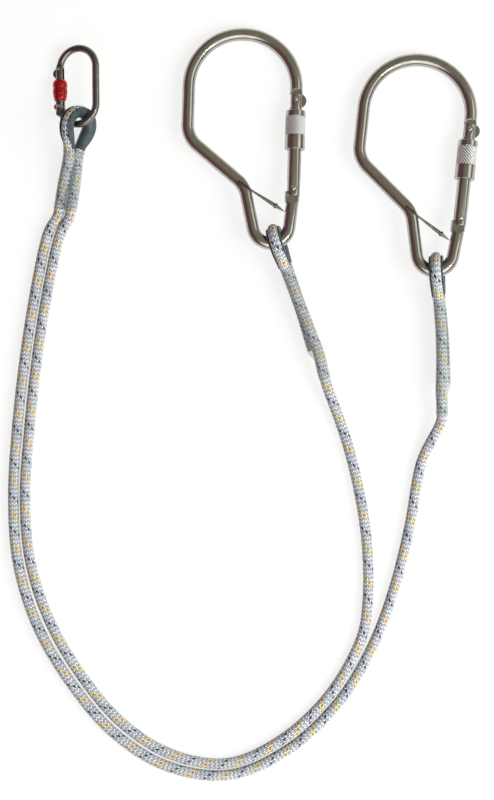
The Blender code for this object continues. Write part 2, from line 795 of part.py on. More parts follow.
def add_nose_and_hinge(body, spec, mat, parent):
    """Joins the collar, lip, tongue and claw to a connector's bar."""
    name = body.name
    top = -(spec["heel"] + FIT_GAP)
    low = top - spec["collar_height"]
    collar = turned(
        name + "_collar",
        [
            (low, spec["collar"] - COLLAR_CHAMFER_DEPTH),
            (low + COLLAR_CHAMFER_HEIGHT, spec["collar"]),
            (top + spec["lip"], spec["collar"]),
        ],
        SLEEVE_SIDES, mat, parent,
    )
    collar.location.x = -spec["collar_shift"] * MM
    carve(body, collar, "UNION")
    seat = round_bar(
        name + "_gate_seat", (0, top, 0), (0, spec["cam"] * 2, 0),
        (spec["gate"] / 2 + FIT_GAP) / math.cos(math.pi / SLEEVE_SIDES), SLEEVE_SIDES, mat, parent,
    )
    carve(body, seat)
    tongue = plate(name + "_tongue", tongue_outline(spec), spec["tongue"], mat, parent)
    carve(body, tongue, "UNION")
    hole = round_bar(
        name + "_rivet_hole", (0, 0, -spec["gate"]), (0, 0, spec["gate"]),
        spec["rivet"] / 2 + BEARING_GAP, GATE_SIDES, mat, parent,
    )
    carve(body, hole)
    claw = plate(name + "_claw", claw_outline(spec), spec["tongue"], mat, parent)
    carve(body, claw, "UNION")


def gate_tube(name, spec, mat, parent):
    """A round gate, slotted at both ends and drilled for its spring."""
    radius = spec["gate"] / 2
    top_radius = spec["gate_top_diameter"] / 2
    heel = spec["heel"]
    top = spec["gate_top"]
    shoulder = spec["ear_centre"][1] - spec["ear"]
    gate = turned(name, [
        (-heel, radius - GATE_CHAMFER),
        (GATE_CHAMFER - heel, radius),
        (shoulder, radius),
        (shoulder + GATE_CHAMFER, top_radius),
        (top - GATE_TOP_CHAMFER, top_radius),
        (top, top_radius - GATE_TOP_CHAMFER),
    ], GATE_SIDES, mat, parent)
    side = spec["tongue"] / 2 + FIT_GAP
    wide = spec["gate"]
    slot_top = cam_lift_radius(spec) + FIT_GAP
    hinge_slot = box_tool(
        name + "_hinge_slot", (-wide, -2 * heel, -side), (wide, slot_top, side), mat, parent,
    )
    carve(gate, hinge_slot)
    claw_low = shoulder - spec["tab_drop"] - FIT_GAP
    nose_slot = box_tool(
        name + "_nose_slot", (-wide, claw_low, -side), (wide, top + heel, side), mat, parent,
    )
    carve(gate, nose_slot)
    bore_end = spring_start(spec) + spec["spring_length"] + spec["spring_wire"] / 2 + FIT_GAP
    bore = round_bar(
        name + "_bore", (0, slot_top - side, 0), (0, bore_end, 0),
        spec["spring"] / 2 + SPRING_ROOM, GATE_SIDES, mat, parent,
    )
    carve(gate, bore)
    for label, height, size in (("rivet", 0.0, spec["rivet"]), ("pin", spec["pin_height"], spec["pin"])):
        hole = round_bar(
            name + "_" + label + "_hole", (0, height, -wide), (0, height, wide),
            size / 2 + BEARING_GAP, GATE_SIDES, mat, parent,
        )
        carve(gate, hole)
    outline = arc_points((0, 0), heel, 180, 267, 8)
    outline += [(outline[-1][0], -2 * heel), (-2 * heel, -2 * heel), (-2 * heel, 0)]
    carve(gate, plate(name + "_heel_round", outline, 2 * wide, mat, parent))
    return gate


def spring_start(spec):
    """Height of the spring's lower end, above the lifted plunger's shoulder."""
    travel = spec["lift"] * CAM_OVERTRAVEL + spec["spring_wire"] / 2 + FIT_GAP
    return cam_lift_radius(spec) + 3 * FIT_GAP + spec["bar"] * 0.14 + travel


def spring_plunger(name, spec, mat, parent):
    tip = spec["cam"] + FIT_GAP
    nose = spec["tongue"] * 0.38
    shoulder = cam_lift_radius(spec) + 3 * FIT_GAP
    seat = shoulder + spec["bar"] * 0.14
    stem = spec["spring"] / 2 - spec["spring_wire"] - FIT_GAP
    return turned(name, [
        (tip, nose * 0.2),
        (tip + nose * 0.3, nose * 0.75),
        (tip + nose * 0.6, nose),
        (shoulder - 0.1, nose),
        (shoulder, spec["spring"] / 2),
        (seat, spec["spring"] / 2),
        (seat + 0.1, stem),
        (seat + spec["bar"] * 0.35, stem),
    ], PLUNGER_SIDES, mat, parent)


def gate_spring(name, spec, mat, parent):
    """Compression spring in the gate's bore."""
    start = spring_start(spec)
    radius = (spec["spring"] - spec["spring_wire"]) / 2
    turns = spec["spring_turns"]
    points = []
    for k in range(turns * 8 + 1):
        angle = 2 * math.pi * k / 8
        height = start + spec["spring_length"] * k / (turns * 8)
        points.append((radius * math.cos(angle), height, radius * math.sin(angle)))
    obj = cord(name, points, spec["spring_wire"] / 2, mat, 0)
    obj.parent = parent
    return obj


def lock_sleeve(name, spec, mat, parent):
    """Screw sleeve on the gate, backed off below the ear."""
    bore = (spec["gate"] / 2 + FIT_GAP) / math.cos(math.pi / SLEEVE_SIDES)
    top = spec["ear_centre"][1] - spec["ear"] - spec["backed_off"]
    low = top - spec["lock_length"]
    outer = [(low + height, spec["lock"] / 2 + step) for height, step in spec["lock_profile"]]
    outer += [(top - height, spec["lock"] / 2 + step) for height, step in spec["lock_top_profile"]]
    profile = outer + [(top, bore), (low, bore)]
    return turned(name, profile, SLEEVE_SIDES, mat, parent, bored=True)


def add_gate(side, spec, mats, frame):
    """Gate, rivet, pin, spring, plunger and lock sleeve of one connector."""
    axis = add_empty(side + "_gate_axis", Matrix.Identity(4), frame)
    gate_tube(side + "_gate", spec, mats[spec["metal"]], axis)
    reach = spec["gate"] / 2 + RIVET_PROUD
    round_bar(
        side + "_hinge_rivet", (0, 0, -reach), (0, 0, reach),
        spec["rivet"] / 2, PIN_SIDES, mats["bright"], axis, dome=RIVET_DOME,
    )
    reach = spec["gate_top_diameter"] / 2 + PIN_PROUD
    height = spec["pin_height"]
    round_bar(
        side + "_nose_pin", (0, height, -reach), (0, height, reach),
        spec["pin"] / 2, PIN_SIDES, mats["bright"], axis, dome=PIN_DOME,
    )
    spring_plunger(side + "_spring_plunger", spec, mats["bright"], axis)
    gate_spring(side + "_gate_spring", spec, mats["spring"], axis)
    lock_sleeve(side + "_lock_sleeve", spec, mats[spec["lock_metal"]], axis)


HOOK = dict(
    bar=HOOK_BAR, gate=HOOK_GATE_DIAMETER, gate_top_diameter=HOOK_GATE_TOP_DIAMETER,
    gate_top=HOOK_GATE_TOP, heel=HOOK_GATE_HEEL, tongue=HOOK_TONGUE, cam=HOOK_CAM_RADIUS,
    lift=HOOK_CAM_LIFT, gate_angle=HOOK_GATE_ANGLE, rivet=HOOK_RIVET, pin=HOOK_PIN,
    pin_height=HOOK_PIN_HEIGHT, ear=HOOK_EAR_RADIUS, ear_centre=HOOK_EAR_CENTRE,
    tab_drop=HOOK_TAB_DROP, tab_reach=HOOK_TAB_REACH, nose_end=HOOK_NOSE_END, collar=HOOK_COLLAR_RADIUS,
    collar_height=HOOK_COLLAR_HEIGHT, collar_shift=HOOK_COLLAR_SHIFT, lip=HOOK_LIP_HEIGHT,
    hinge_ear=0.0, lock=HOOK_LOCK_DIAMETER, lock_length=HOOK_LOCK_LENGTH,
    backed_off=HOOK_LOCK_BACKED_OFF, spring=HOOK_SPRING, spring_wire=HOOK_SPRING_WIRE,
    spring_length=HOOK_SPRING_LENGTH, spring_turns=5,
    metal="steel", lock_metal="steel",
    lock_profile=[
        (0.0, -1.9), (2.4, 0.3), (HOOK_KNURL[0] - 0.4, 0.2), (HOOK_KNURL[0], -0.1),
        (HOOK_KNURL[1], -0.2), (HOOK_KNURL[1] + 0.4, 0.0),
    ],
    lock_top_profile=[(1.2, -0.2), (0.0, -0.9)],
)

OVAL = dict(
    bar=OVAL_BAR, gate=OVAL_GATE_DIAMETER, gate_top_diameter=OVAL_GATE_TOP_DIAMETER,
    gate_top=OVAL_GATE_TOP, heel=OVAL_GATE_HEEL, tongue=OVAL_TONGUE, cam=OVAL_CAM_RADIUS,
    lift=OVAL_CAM_LIFT, gate_angle=OVAL_GATE_ANGLE, rivet=OVAL_RIVET, pin=OVAL_PIN,
    pin_height=OVAL_PIN_HEIGHT, ear=OVAL_EAR_RADIUS, ear_centre=OVAL_EAR_CENTRE,
    tab_drop=OVAL_TAB_DROP, tab_reach=OVAL_TAB_REACH, nose_end=OVAL_NOSE_END, collar=OVAL_COLLAR_RADIUS,
    collar_height=OVAL_COLLAR_HEIGHT, collar_shift=OVAL_COLLAR_SHIFT, lip=OVAL_LIP_HEIGHT,
    hinge_ear=OVAL_HINGE_EAR, lock=OVAL_LOCK_DIAMETER, lock_length=OVAL_LOCK_LENGTH,
    backed_off=OVAL_LOCK_BACKED_OFF, spring=OVAL_SPRING, spring_wire=OVAL_SPRING_WIRE,
    spring_length=OVAL_SPRING_LENGTH, spring_turns=5,
    metal="dark_steel", lock_metal="red",
    lock_profile=[
        (0.0, -1.6), (2.4, -0.5), (6.0, 0.0), (12.8, 0.0), (13.5, -0.7), (14.9, -0.7), (15.6, 0.0),
    ],
    lock_top_profile=[(2.6, 0.0), (0.8, -0.7), (0.0, -1.5)],
)


# The large hooks

def bow_sides():
    """The two straight sides of the small eye and the point where they would meet."""
    return (0.0, -(HOOK_GATE_HEEL + FIT_GAP) / 2), HOOK_BOW_POINT, HOOK_EYE_CORNER


def hook_path():
    hinge_side, bow_point, corner = bow_sides()
    neck = (-2 * HOOK_HEAD_RADIUS, HOOK_NECK_HEIGHT)
    shoulder = (-2 * HOOK_HEAD_RADIUS, HOOK_NOSE_END)
    start_y = -(HOOK_GATE_HEEL + FIT_GAP + HOOK_COLLAR_HEIGHT / 2)
    path = [(leg_x(start_y), start_y)]
    path += fillet(hinge_side, bow_point, corner, HOOK_BOW_RADIUS, 13)
    path += fillet(bow_point, corner, neck, HOOK_CORNER_RADIUS, 4)
    path += fillet(corner, neck, shoulder, HOOK_CORNER_RADIUS, 5)
    path += arc_points((-HOOK_HEAD_RADIUS, HOOK_NOSE_END), HOOK_HEAD_RADIUS, 180, 0, 15)
    return path


def leg_x(y):
    """Centre of the hook's gate-side leg at a height."""
    (x0, y0), (x1, y1), corner = bow_sides()
    return x0 + (x1 - x0) * (y - y0) / (y1 - y0)


def bow_centre():
    hinge_side, bow_point, corner = (Vector(point) for point in bow_sides())
    one = (hinge_side - bow_point).normalized()
    two = (corner - bow_point).normalized()
    return bow_point + (one + two).normalized() * HOOK_BOW_RADIUS / math.sin(one.angle(two) / 2)


def captive_line():
    """Captive bar's middle line with its radius, from the peg in the body to the pointed tip."""
    end = Vector((leg_x(CAPTIVE_END_HEIGHT) - HOOK_BAR / 2 - 2 * FIT_GAP, CAPTIVE_END_HEIGHT, 0))
    anchor = Vector((*CAPTIVE_ANCHOR, CAPTIVE_HEIGHT))
    thin = CAPTIVE_THIN / 2
    thick = CAPTIVE_THICK / 2
    along = (end - anchor)
    bend = along.normalized() * thin
    down = Vector((0, 0, -1))
    line = [
        (anchor + down * CAPTIVE_PEG, thin),
        (anchor + down * thin, thin),
        (anchor + down * thin * 0.3 + bend * 0.3, thin),
        (anchor + bend, thin),
    ]
    for share, radius in (
        (0.28, thin), (0.52, thin + (thick - thin) * 0.55), (0.78, thick), (0.79, CAPTIVE_COLLAR / 2),
        (0.83, CAPTIVE_COLLAR / 2), (0.84, thick * 0.8), (0.97, thin * 0.7), (1.0, thin * 0.25),
    ):
        line.append((anchor + along * share, radius))
    return line


def captive_bar(name, mat, parent):
    line = captive_line()
    rings = []
    across = Vector((0, 0, 1)).cross(line[-1][0] - line[0][0]).normalized()
    for i, (point, radius) in enumerate(line):
        along = line[min(i + 1, len(line) - 1)][0] - line[max(i - 1, 0)][0]
        rings.append(circle(point, across, across.cross(along).normalized(), radius, 8))
    return swept_solid(name, rings, mat, parent)


def cut_captive_seat(body, mat, parent):
    """Groove and peg hole that hold the captive bar's thin end."""
    anchor = Vector(CAPTIVE_ANCHOR)
    line = captive_line()
    along = (line[-1][0] - line[0][0]).to_2d().normalized()
    across = Vector((-along.y, along.x)) * (CAPTIVE_THIN / 2 + FIT_GAP)
    start = anchor - along * (CAPTIVE_THIN / 2 + FIT_GAP)
    end = anchor + along * HOOK_BAR * 1.6
    floor = CAPTIVE_HEIGHT * 0.45 - CAPTIVE_THIN / 2
    outline = [start - across, end - across, end + across, start + across]
    groove = plate(
        body.name + "_groove", outline, HOOK_BAR, mat, parent, middle=floor + HOOK_BAR / 2,
    )
    carve(body, groove)
    low = CAPTIVE_HEIGHT - CAPTIVE_PEG - FIT_GAP
    hole = round_bar(
        body.name + "_peg_hole", (*anchor, low), (*anchor, floor + CAPTIVE_THIN),
        CAPTIVE_THIN / 2 + FIT_GAP, 12, mat, parent,
    )
    carve(body, hole)


def hook_placing(hinge, lean, pull):
    """Frame of a hook that lies on its head, with its bow held up in the rope's eye."""
    slope = math.radians(HOOK_PULL_SLOPE)
    crown_height = eye_height(HOOK_THIMBLE_TILT, HOOK_PULL_SLOPE)
    seat = EYE_CLEAR_RADIUS - HOOK_BAR / 2 - FIT_GAP
    cross_height = crown_height + seat * math.sin(slope)
    turn = math.radians(lean + pull)
    crossing = bow_centre() + HOOK_BOW_RADIUS * Vector((math.sin(turn), -math.cos(turn)))
    top = HOOK_NOSE_END + HOOK_HEAD_RADIUS
    pitch = math.asin((cross_height - HOOK_BAR / 2 - FLOOR_GAP) / (top - crossing.y))
    height = cross_height + crossing.y * math.sin(pitch)
    matrix = Matrix.Translation((hinge[0] * MM, hinge[1] * MM, height * MM))
    matrix = matrix @ Matrix.Rotation(-math.radians(lean), 4, "Z") @ Matrix.Rotation(-pitch, 4, "X")
    tangent = Vector((math.cos(turn), math.sin(turn), 0))
    swing = swing_matrix(matrix, crossing.to_3d(), tangent)
    heading = math.radians(pull)
    along = Vector((
        math.sin(heading) * math.cos(slope), -math.cos(heading) * math.cos(slope), -math.sin(slope),
    ))
    crown = swing.translation / MM + along * seat
    return matrix, swing, crown


def swing_matrix(matrix, crossing, tangent):
    """A frame on the bar where it hangs in the thimble, with X along the bar."""
    place = matrix @ (crossing * MM)
    x_axis = (matrix.to_3x3() @ tangent).normalized()
    z_axis = (matrix.to_3x3() @ Vector((0, 0, 1))).normalized()
    y_axis = z_axis.cross(x_axis)
    swing = Matrix((x_axis, y_axis, z_axis)).transposed().to_4x4()
    swing.translation = place
    return swing


def eye_height(tilt, slope):
    """Height of the crown centre when the eye's lower side lies on the floor."""
    tilt = math.radians(tilt)
    slope = math.radians(slope)
    rope = ROPE_RADIUS + CROWN_RADIUS * math.hypot(math.sin(slope), math.sin(tilt) * math.cos(slope))
    outside = CHANNEL_RADIUS / math.cos(math.pi / 12) + THIMBLE_WALL
    flange = (CROWN_RADIUS + THIMBLE_FLANGE) * math.sin(tilt) + outside * math.cos(tilt)
    return max(rope, flange) + SPLICE_LIFT


def large_hook(side, hinge, lean, pull, tail_tilt, end_pull, mats):
    matrix, swing, crown = hook_placing(hinge, lean, pull)
    pivot = add_empty(side + "_hook_swing", swing)
    frame = add_empty(side + "_hook_frame", swing.inverted() @ matrix, pivot)
    mat = mats["steel"]
    body = swept_solid(side + "_hook_body", bar_rings(hook_path(), HOOK_BAR / 2), mat, frame)
    add_nose_and_hinge(body, HOOK, mat, frame)
    cut_captive_seat(body, mat, frame)
    captive_bar(side + "_hook_captive_bar", mats["dark_steel"], frame)
    add_gate(side + "_hook", HOOK, mats, frame)
    length = SLEEVE_START + HOOK_SLEEVE_LENGTH
    eye = Eye(crown, pull, HOOK_PULL_SLOPE, HOOK_THIMBLE_TILT, tail_tilt, end_pull, length)
    return hook_splice(side, eye, mats)


# The harness karabiner

def oval_path():
    low = (-OVAL_RADIUS, OVAL_ARC_RISE)
    high = (-OVAL_RADIUS, OVAL_STRAIGHT + OVAL_ARC_RISE)
    foot = OVAL_GATE_HEEL + FIT_GAP + OVAL_COLLAR_HEIGHT / 2
    first = -math.degrees(math.asin((foot + OVAL_ARC_RISE) / OVAL_RADIUS))
    path = arc_points(low, OVAL_RADIUS, first, -180, 12)
    path += arc_points(high, OVAL_RADIUS, 180, 180 / OVAL_ARC_STEPS, OVAL_ARC_STEPS - 1)
    return path


def oval_karabiner(mats):
    slope = math.radians(HARNESS_PULL_SLOPE)
    tilt = math.radians(OVAL_TILT)
    seat = EYE_CLEAR_RADIUS - OVAL_BAR / 2 - OVAL_SEAT
    crown_height = eye_height(HARNESS_TILT, HARNESS_PULL_SLOPE)
    cross_height = crown_height + seat * math.sin(slope)
    crossing = Vector((-OVAL_RADIUS, OVAL_ARC_RISE - OVAL_RADIUS, 0))
    lock_top = OVAL_EAR_CENTRE[1] - OVAL_EAR_RADIUS
    side_rise = OVAL_RADIUS * math.sin(tilt)
    lock_radius = OVAL_LOCK_DIAMETER / 2
    pitch = math.asin((cross_height - side_rise - lock_radius - FLOOR_GAP) / (lock_top - crossing.y))
    height = lock_radius + FLOOR_GAP + lock_top * math.sin(pitch)
    matrix = Matrix.Translation((OVAL_HINGE[0] * MM, OVAL_HINGE[1] * MM, height * MM))
    matrix = matrix @ Matrix.Rotation(-math.radians(OVAL_LEAN), 4, "Z")
    matrix = matrix @ Matrix.Rotation(-pitch, 4, "X")
    matrix = matrix @ Matrix.Rotation(math.pi - tilt, 4, "Y")
    swing = swing_matrix(matrix, crossing, Vector((1, 0, 0)))
    pivot = add_empty("harness_karabiner_swing", swing)
    frame = add_empty("harness_karabiner_frame", swing.inverted() @ matrix, pivot)
    mat = mats["dark_steel"]
    body = swept_solid("karabiner_body", bar_rings(oval_path(), OVAL_BAR / 2), mat, frame)
    add_nose_and_hinge(body, OVAL, mat, frame)
    add_gate("karabiner", OVAL, mats, frame)
    heading = math.radians(HARNESS_PULL)
    along = Vector((
        math.sin(heading) * math.cos(slope), -math.cos(heading) * math.cos(slope), -math.sin(slope),
    ))
    crown = swing.translation / MM + along * seat
    length = SLEEVE_START + HARNESS_SLEEVE_LENGTH
    eye = Eye(crown, HARNESS_PULL, HARNESS_PULL_SLOPE, HARNESS_TILT, 0.0, HARNESS_PULL, length)
    harness_splice(eye, mats)
    return eye


def main():
    clear_scene()
    mats = {
        "rope": material("white_rope", (0.80, 0.83, 0.86), 0.0, 0.8),
        "thimble": material("grey_plastic", (0.12, 0.15, 0.16), 0.0, 0.4),
        "clear": material("clear_sleeve", (0.82, 0.85, 0.86), 0.0, 0.15, 0.4),
        "thread": material("grey_thread", (0.35, 0.42, 0.46), 0.0, 0.7),
        "steel": material("polished_steel", (0.42, 0.41, 0.36), 1.0, 0.18),
        "dark_steel": material("dark_steel", (0.25, 0.24, 0.22), 1.0, 0.22),
        "bright": material("bright_steel", (0.7, 0.7, 0.68), 1.0, 0.25),
        "spring": material("spring_steel", (0.5, 0.5, 0.5), 1.0, 0.35),
        "red": material("red_anodised", (0.62, 0.06, 0.06), 1.0, 0.3),
    }
    harness = oval_karabiner(mats)
    left_end = large_hook(
        "left", LEFT_HOOK_HINGE, LEFT_HOOK_LEAN, LEFT_HOOK_PULL, LEFT_TAIL_TILT, LEFT_TAIL_PULL, mats,
    )
    right_end = large_hook(
        "right", RIGHT_HOOK_HINGE, RIGHT_HOOK_LEAN, RIGHT_HOOK_PULL, RIGHT_TAIL_TILT, RIGHT_TAIL_PULL,
        mats,
    )
    legs(harness, left_end, right_end, mats)
    shift = Vector((DATUM_SHIFT[0] * MM, DATUM_SHIFT[1] * MM, 0))
    for obj in bpy.data.objects:
        if obj.parent is None:
            obj.location += shift


main()
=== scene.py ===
# A twin-leg rope lanyard lying flat: one white braided rope with three spliced eyes, a small oval
# karabiner with a red screw sleeve, and two large steel hooks with screw sleeves.
# Shapes are worked out in millimetres and scaled when a mesh is made. The routes are in metres.
import math
from functools import partial
import bpy
import numpy as np
from mathutils import Matrix, Vector, noise


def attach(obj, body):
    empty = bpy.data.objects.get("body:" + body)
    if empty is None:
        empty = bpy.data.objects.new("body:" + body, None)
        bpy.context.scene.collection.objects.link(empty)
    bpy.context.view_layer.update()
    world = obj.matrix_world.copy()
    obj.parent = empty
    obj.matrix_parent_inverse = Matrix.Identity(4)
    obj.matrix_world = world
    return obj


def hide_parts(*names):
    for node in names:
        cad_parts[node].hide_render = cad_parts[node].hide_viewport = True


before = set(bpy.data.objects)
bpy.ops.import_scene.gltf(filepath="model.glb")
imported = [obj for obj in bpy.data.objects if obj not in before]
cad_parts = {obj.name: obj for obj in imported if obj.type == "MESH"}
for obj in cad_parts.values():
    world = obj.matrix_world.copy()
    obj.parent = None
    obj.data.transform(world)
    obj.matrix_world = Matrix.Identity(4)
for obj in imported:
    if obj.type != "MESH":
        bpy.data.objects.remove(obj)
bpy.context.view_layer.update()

mm = 0.001
print('frame loaded:', len(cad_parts), 'nodes')


# materials


def toLinear(hexText):
    values = [int(hexText[k:k + 2], 16) / 255 for k in (1, 3, 5)]
    return (*[v / 12.92 if v <= 0.04045 else ((v + 0.055) / 1.055) ** 2.4 for v in values], 1.0)


def perMetre(sizeInMm):
    # texture scale that gives one repeat in this many millimetres
    return 1000 / sizeInMm


def addNode(owner, kind, **given):
    # kind is the node's class without ShaderNode. Names in small letters are the node's settings,
    # the others its inputs. An input is a value, a colour in hex, another node or a node's socket;
    # a list fills the inputs that share a name
    tree = owner.node_tree
    node = tree.nodes.new('ShaderNode' + kind)
    for key, value in sorted(given.items(), key=lambda item: item[0][0].isupper()):
        if key[0].islower():
            setattr(node, key, value)
            continue
        label = key.replace('_', ' ')
        sockets = [socket for socket in node.inputs if socket.enabled and socket.name == label]
        for socket, part in zip(sockets, value if isinstance(value, list) else [value]):
            if isinstance(part, bpy.types.Node):
                part = next(output for output in part.outputs if output.enabled)
            if isinstance(part, bpy.types.NodeSocket):
                tree.links.new(part, socket)
            else:
                socket.default_value = toLinear(part) if isinstance(part, str) else part
    return node


def nodesOf(owner):
    # empties a material's or world's nodes and returns the function that adds one to it
    owner.use_nodes = True
    owner.node_tree.nodes.clear()
    return partial(addNode, owner)


def newMaterial(name):
    material = bpy.data.materials.new(name)
    return material, nodesOf(material)


def surface(name, tones, cloud, grain, depth, detail=(3.0, 2.0), toneRange=(0.3, 0.7), rough=None,
            roughRange=(0.3, 0.75), drawn=None, strength=0.5, worn=None, knurled=False, **shader):
    # Two tones and the shine drift in soft clouds, under a fine grain; both sizes are in mm.
    # drawn stretches the grain along Y, worn is the colour of scuffs, and what is left over are
    # values of the shader itself
    material, node = newMaterial(name)
    place = node('TexCoord').outputs['Object']
    clouds = node('TexNoise', Vector=place, Scale=perMetre(cloud), Detail=detail[0])
    tone = node('MapRange', Value=clouds, From_Min=toneRange[0], From_Max=toneRange[1])
    base = node('Mix', data_type='RGBA', Factor=tone, A=tones[0], B=tones[1])
    if worn:
        scuffs = node('Mapping', Vector=place, Scale=(1, 0.25, 1))
        scuffs = node('TexNoise', Vector=scuffs, Scale=perMetre(1.6), Detail=4.0)
        scuffs = node('MapRange', Value=scuffs, From_Min=0.6, From_Max=0.78, To_Max=0.35)
        base = node('Mix', data_type='RGBA', Factor=scuffs, A=base, B=worn)
    if rough:
        shader['Roughness'] = node('MapRange', Value=clouds, From_Min=roughRange[0],
                                   From_Max=roughRange[1], To_Min=rough[0], To_Max=rough[1])
    if knurled:
        # painted highlight: a knurl's colour is lifted towards white for the light its many small faces
        # scatter, and painted shade darkens its valleys; the knurl is also rougher and less metallic
        cut, valley = (node('Attribute', attribute_name=mark).outputs['Fac']
                       for mark in ('knurled', 'valley'))
        # painted highlight: white mixed over the knurl
        base = node('Mix', data_type='RGBA', Factor=cut, A=base, B='#ffffff')
        # painted shade: dark multiplied into the knurl's valleys
        base = node('Mix', data_type='RGBA', blend_type='MULTIPLY', Factor=valley, A=base, B='#14181a')
        for key, change in (('Roughness', 0.14), ('Metallic', -0.55)):
            shader[key] = node('Math', operation='MULTIPLY_ADD', Value=[cut, change, shader[key]])
    grains = node('Mapping', Vector=place, Scale=(1, drawn, 1)) if drawn else place
    grains = node('TexNoise', Vector=grains, Scale=perMetre(grain), Detail=detail[1])
    relief = node('Bump', Height=grains, Distance=depth * mm, Strength=strength)
    shader = node('BsdfPrincipled', Base_Color=base, Normal=relief, **shader)
    node('OutputMaterial', Surface=shader)
    return material


# studio: pale floor, soft lamps, and a camera straight above the middle

studio = {
    'floorWidth': 60.0,
    'floorColour': '#f6f6f4',
    'floorWhite': 0.82,            # share of the floor that shows as plain white paper
    'ceiling': '#8f8e7d',          # the dim ceiling that the steel mirrors
    # a warm dark wall on the left and a cool one on the right: colour, and where on the X
    # direction each begins and is full
    'walls': (('#74505a', -0.12, -0.5), ('#56636c', 0.78, 0.97)),
    'centre': (-0.0209, -0.1957),  # middle of the picture
    'cameraHeight': 2.2,
    'pictureHeight': 0.8820,       # on the floor
    'sensorHeight': 36.0,
    # where each soft box stands, its width and height, its watts and whether metal mirrors it
    'lamps': {
        'keyWindow': ((0.46, -1.4, 1.89), 3.0, 2.1, 30.0, True),
        'sideWindow': ((2.15, 0.45, 1.6), 1.9, 1.3, 8.5, True),
        'skylight': ((2.2, -0.7, 2.0), 2.0, 2.0, 103.0, False),
        'bareBulb': ((1.55, -0.5, 2.0), 0.2, 0.2, 6.0, True),
    },
}


def placeInScene(name, data):
    obj = bpy.data.objects.new(name, data)
    bpy.context.scene.collection.objects.link(obj)
    return obj


def buildRoom():
    world = bpy.data.worlds.new('softStudio')
    bpy.context.scene.world = world
    node = nodesOf(world)
    direction = node('TexCoord').outputs['Generated']
    east = node('SeparateXYZ', Vector=direction).outputs['X']
    colour = studio['ceiling']
    for wall, begins, full in studio['walls']:
        share = node('MapRange', interpolation_type='SMOOTHSTEP', Value=east, From_Min=begins,
                     From_Max=full)
        colour = node('Mix', data_type='RGBA', Factor=share, A=colour, B=wall)
    node('OutputWorld', Surface=node('Background', Color=colour, Strength=1.0))


def buildFloor():
    half = studio['floorWidth'] / 2
    mesh = bpy.data.meshes.new('paperFloor')
    corners = [(-half, -half, 0), (half, -half, 0), (half, half, 0), (-half, half, 0)]
    mesh.from_pydata(corners, [], [(0, 1, 2, 3)])
    # matt white paper; seen or mirrored it stays white, and it keeps a share of the shadow
    paper, node = newMaterial('whitePaper')
    rays = node('LightPath').outputs
    seen = rays['Is Camera Ray']
    for kind in ('Is Glossy Ray', 'Is Transmission Ray'):
        seen = node('Math', operation='MAXIMUM', Value=[seen, rays[kind]])
    share = node('Math', operation='MULTIPLY', Value=[seen, studio['floorWhite']])
    matt = node('BsdfDiffuse', Color=studio['floorColour'])
    white = node('Emission', Color='#ffffff', Strength=1.0)
    node('OutputMaterial', Surface=node('MixShader', Fac=share, Shader=[matt, white]))
    mesh.materials.append(paper)
    placeInScene('paperFloor', mesh)


def buildLamps():
    centre = Vector((*studio['centre'], 0.0))
    for name, (place, width, height, watts, mirrored) in studio['lamps'].items():
        lamp = bpy.data.lights.new(name, 'AREA')
        lamp.shape = 'RECTANGLE'
        lamp.size = width
        lamp.size_y = height
        lamp.energy = watts
        box = placeInScene(name, lamp)
        box.location = centre + Vector(place)
        box.rotation_euler = (centre - box.location).to_track_quat('-Z', 'Y').to_euler()
        box.visible_glossy = mirrored


def buildCamera():
    lens = bpy.data.cameras.new('copyCamera')
    lens.sensor_fit = 'VERTICAL'
    lens.sensor_height = studio['sensorHeight']
    lens.lens = studio['sensorHeight'] * studio['cameraHeight'] / studio['pictureHeight']
    lens.clip_end = 200.0
    camera = placeInScene('copyCamera', lens)
    camera.location = (*studio['centre'], studio['cameraHeight'])
    bpy.context.scene.camera = camera
    bpy.context.scene.view_settings.view_transform = 'Standard'


buildRoom()
buildFloor()
buildLamps()
buildCamera()
print('studio ready')


# mesh helpers


def turnOutward(mesh):
    # a closed shape whose volume comes out negative is inside out
    mesh.calc_loop_triangles()
    points = np.empty(len(mesh.vertices) * 3)
    mesh.vertices.foreach_get('co', points)
    corners = np.empty(len(mesh.loop_triangles) * 3, int)
    mesh.loop_triangles.foreach_get('vertices', corners)
    a, b, c = (points.reshape(-1, 3)[corners[k::3]] for k in range(3))
    if np.einsum('ij,ij->i', a, np.cross(b, c)).sum() < 0:
        mesh.flip_normals()


def tubeFaces(rows, columns, closed):
    # quads from ring to ring; an open tube gets a flat cap on each end
    faces = []
    for i in range(rows if closed else rows - 1):
        low, high = i * columns, (i + 1) % rows * columns
        for j in range(columns):
            k = (j + 1) % columns
            faces.append((low + j, low + k, high + k, high + j))
    if not closed:
        faces.append(tuple(range(columns))[::-1])
        faces.append(tuple(range((rows - 1) * columns, rows * columns)))
    return faces


def tubeObject(name, rings, closed=False, matrix=None, sharpAngle=35.0):
    # closed: the last ring joins the first, as in a piece with a bore
    rings = np.asarray(rings, float)
    points = rings.reshape(-1, 3)
    if matrix is not None:
        points = points @ np.array(matrix.to_3x3()).T + np.array(matrix.translation)
    mesh = bpy.data.meshes.new(name)
    mesh.from_pydata((points * mm).tolist(), [], tubeFaces(*rings.shape[:2], closed))
    turnOutward(mesh)
    mesh.shade_smooth()
    mesh.set_sharp_from_angle(angle=math.radians(sharpAngle))
    return placeInScene(name, mesh)


def anglesRound(count, shift=0.0):
    return 2 * math.pi * (np.arange(count) + shift) / count


def ringsAlong(centres, sides, ups, sizes):
    # a ring across a line at each of its points, from the radii round it
    angle = anglesRound(sizes.shape[1])[None, :, None]
    across = np.cos(angle) * sides[:, None] + np.sin(angle) * ups[:, None]
    return centres[:, None] + sizes[:, :, None] * across


def dress(obj, material, body, node):
    # material, moving body and the CAD node that this piece stands for
    obj.data.materials.clear()
    obj.data.materials.append(material)
    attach(obj, body)
    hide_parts(node)


def ease(value):
    value = min(max(value, 0.0), 1.0)
    return value * value * (3 - 2 * value)


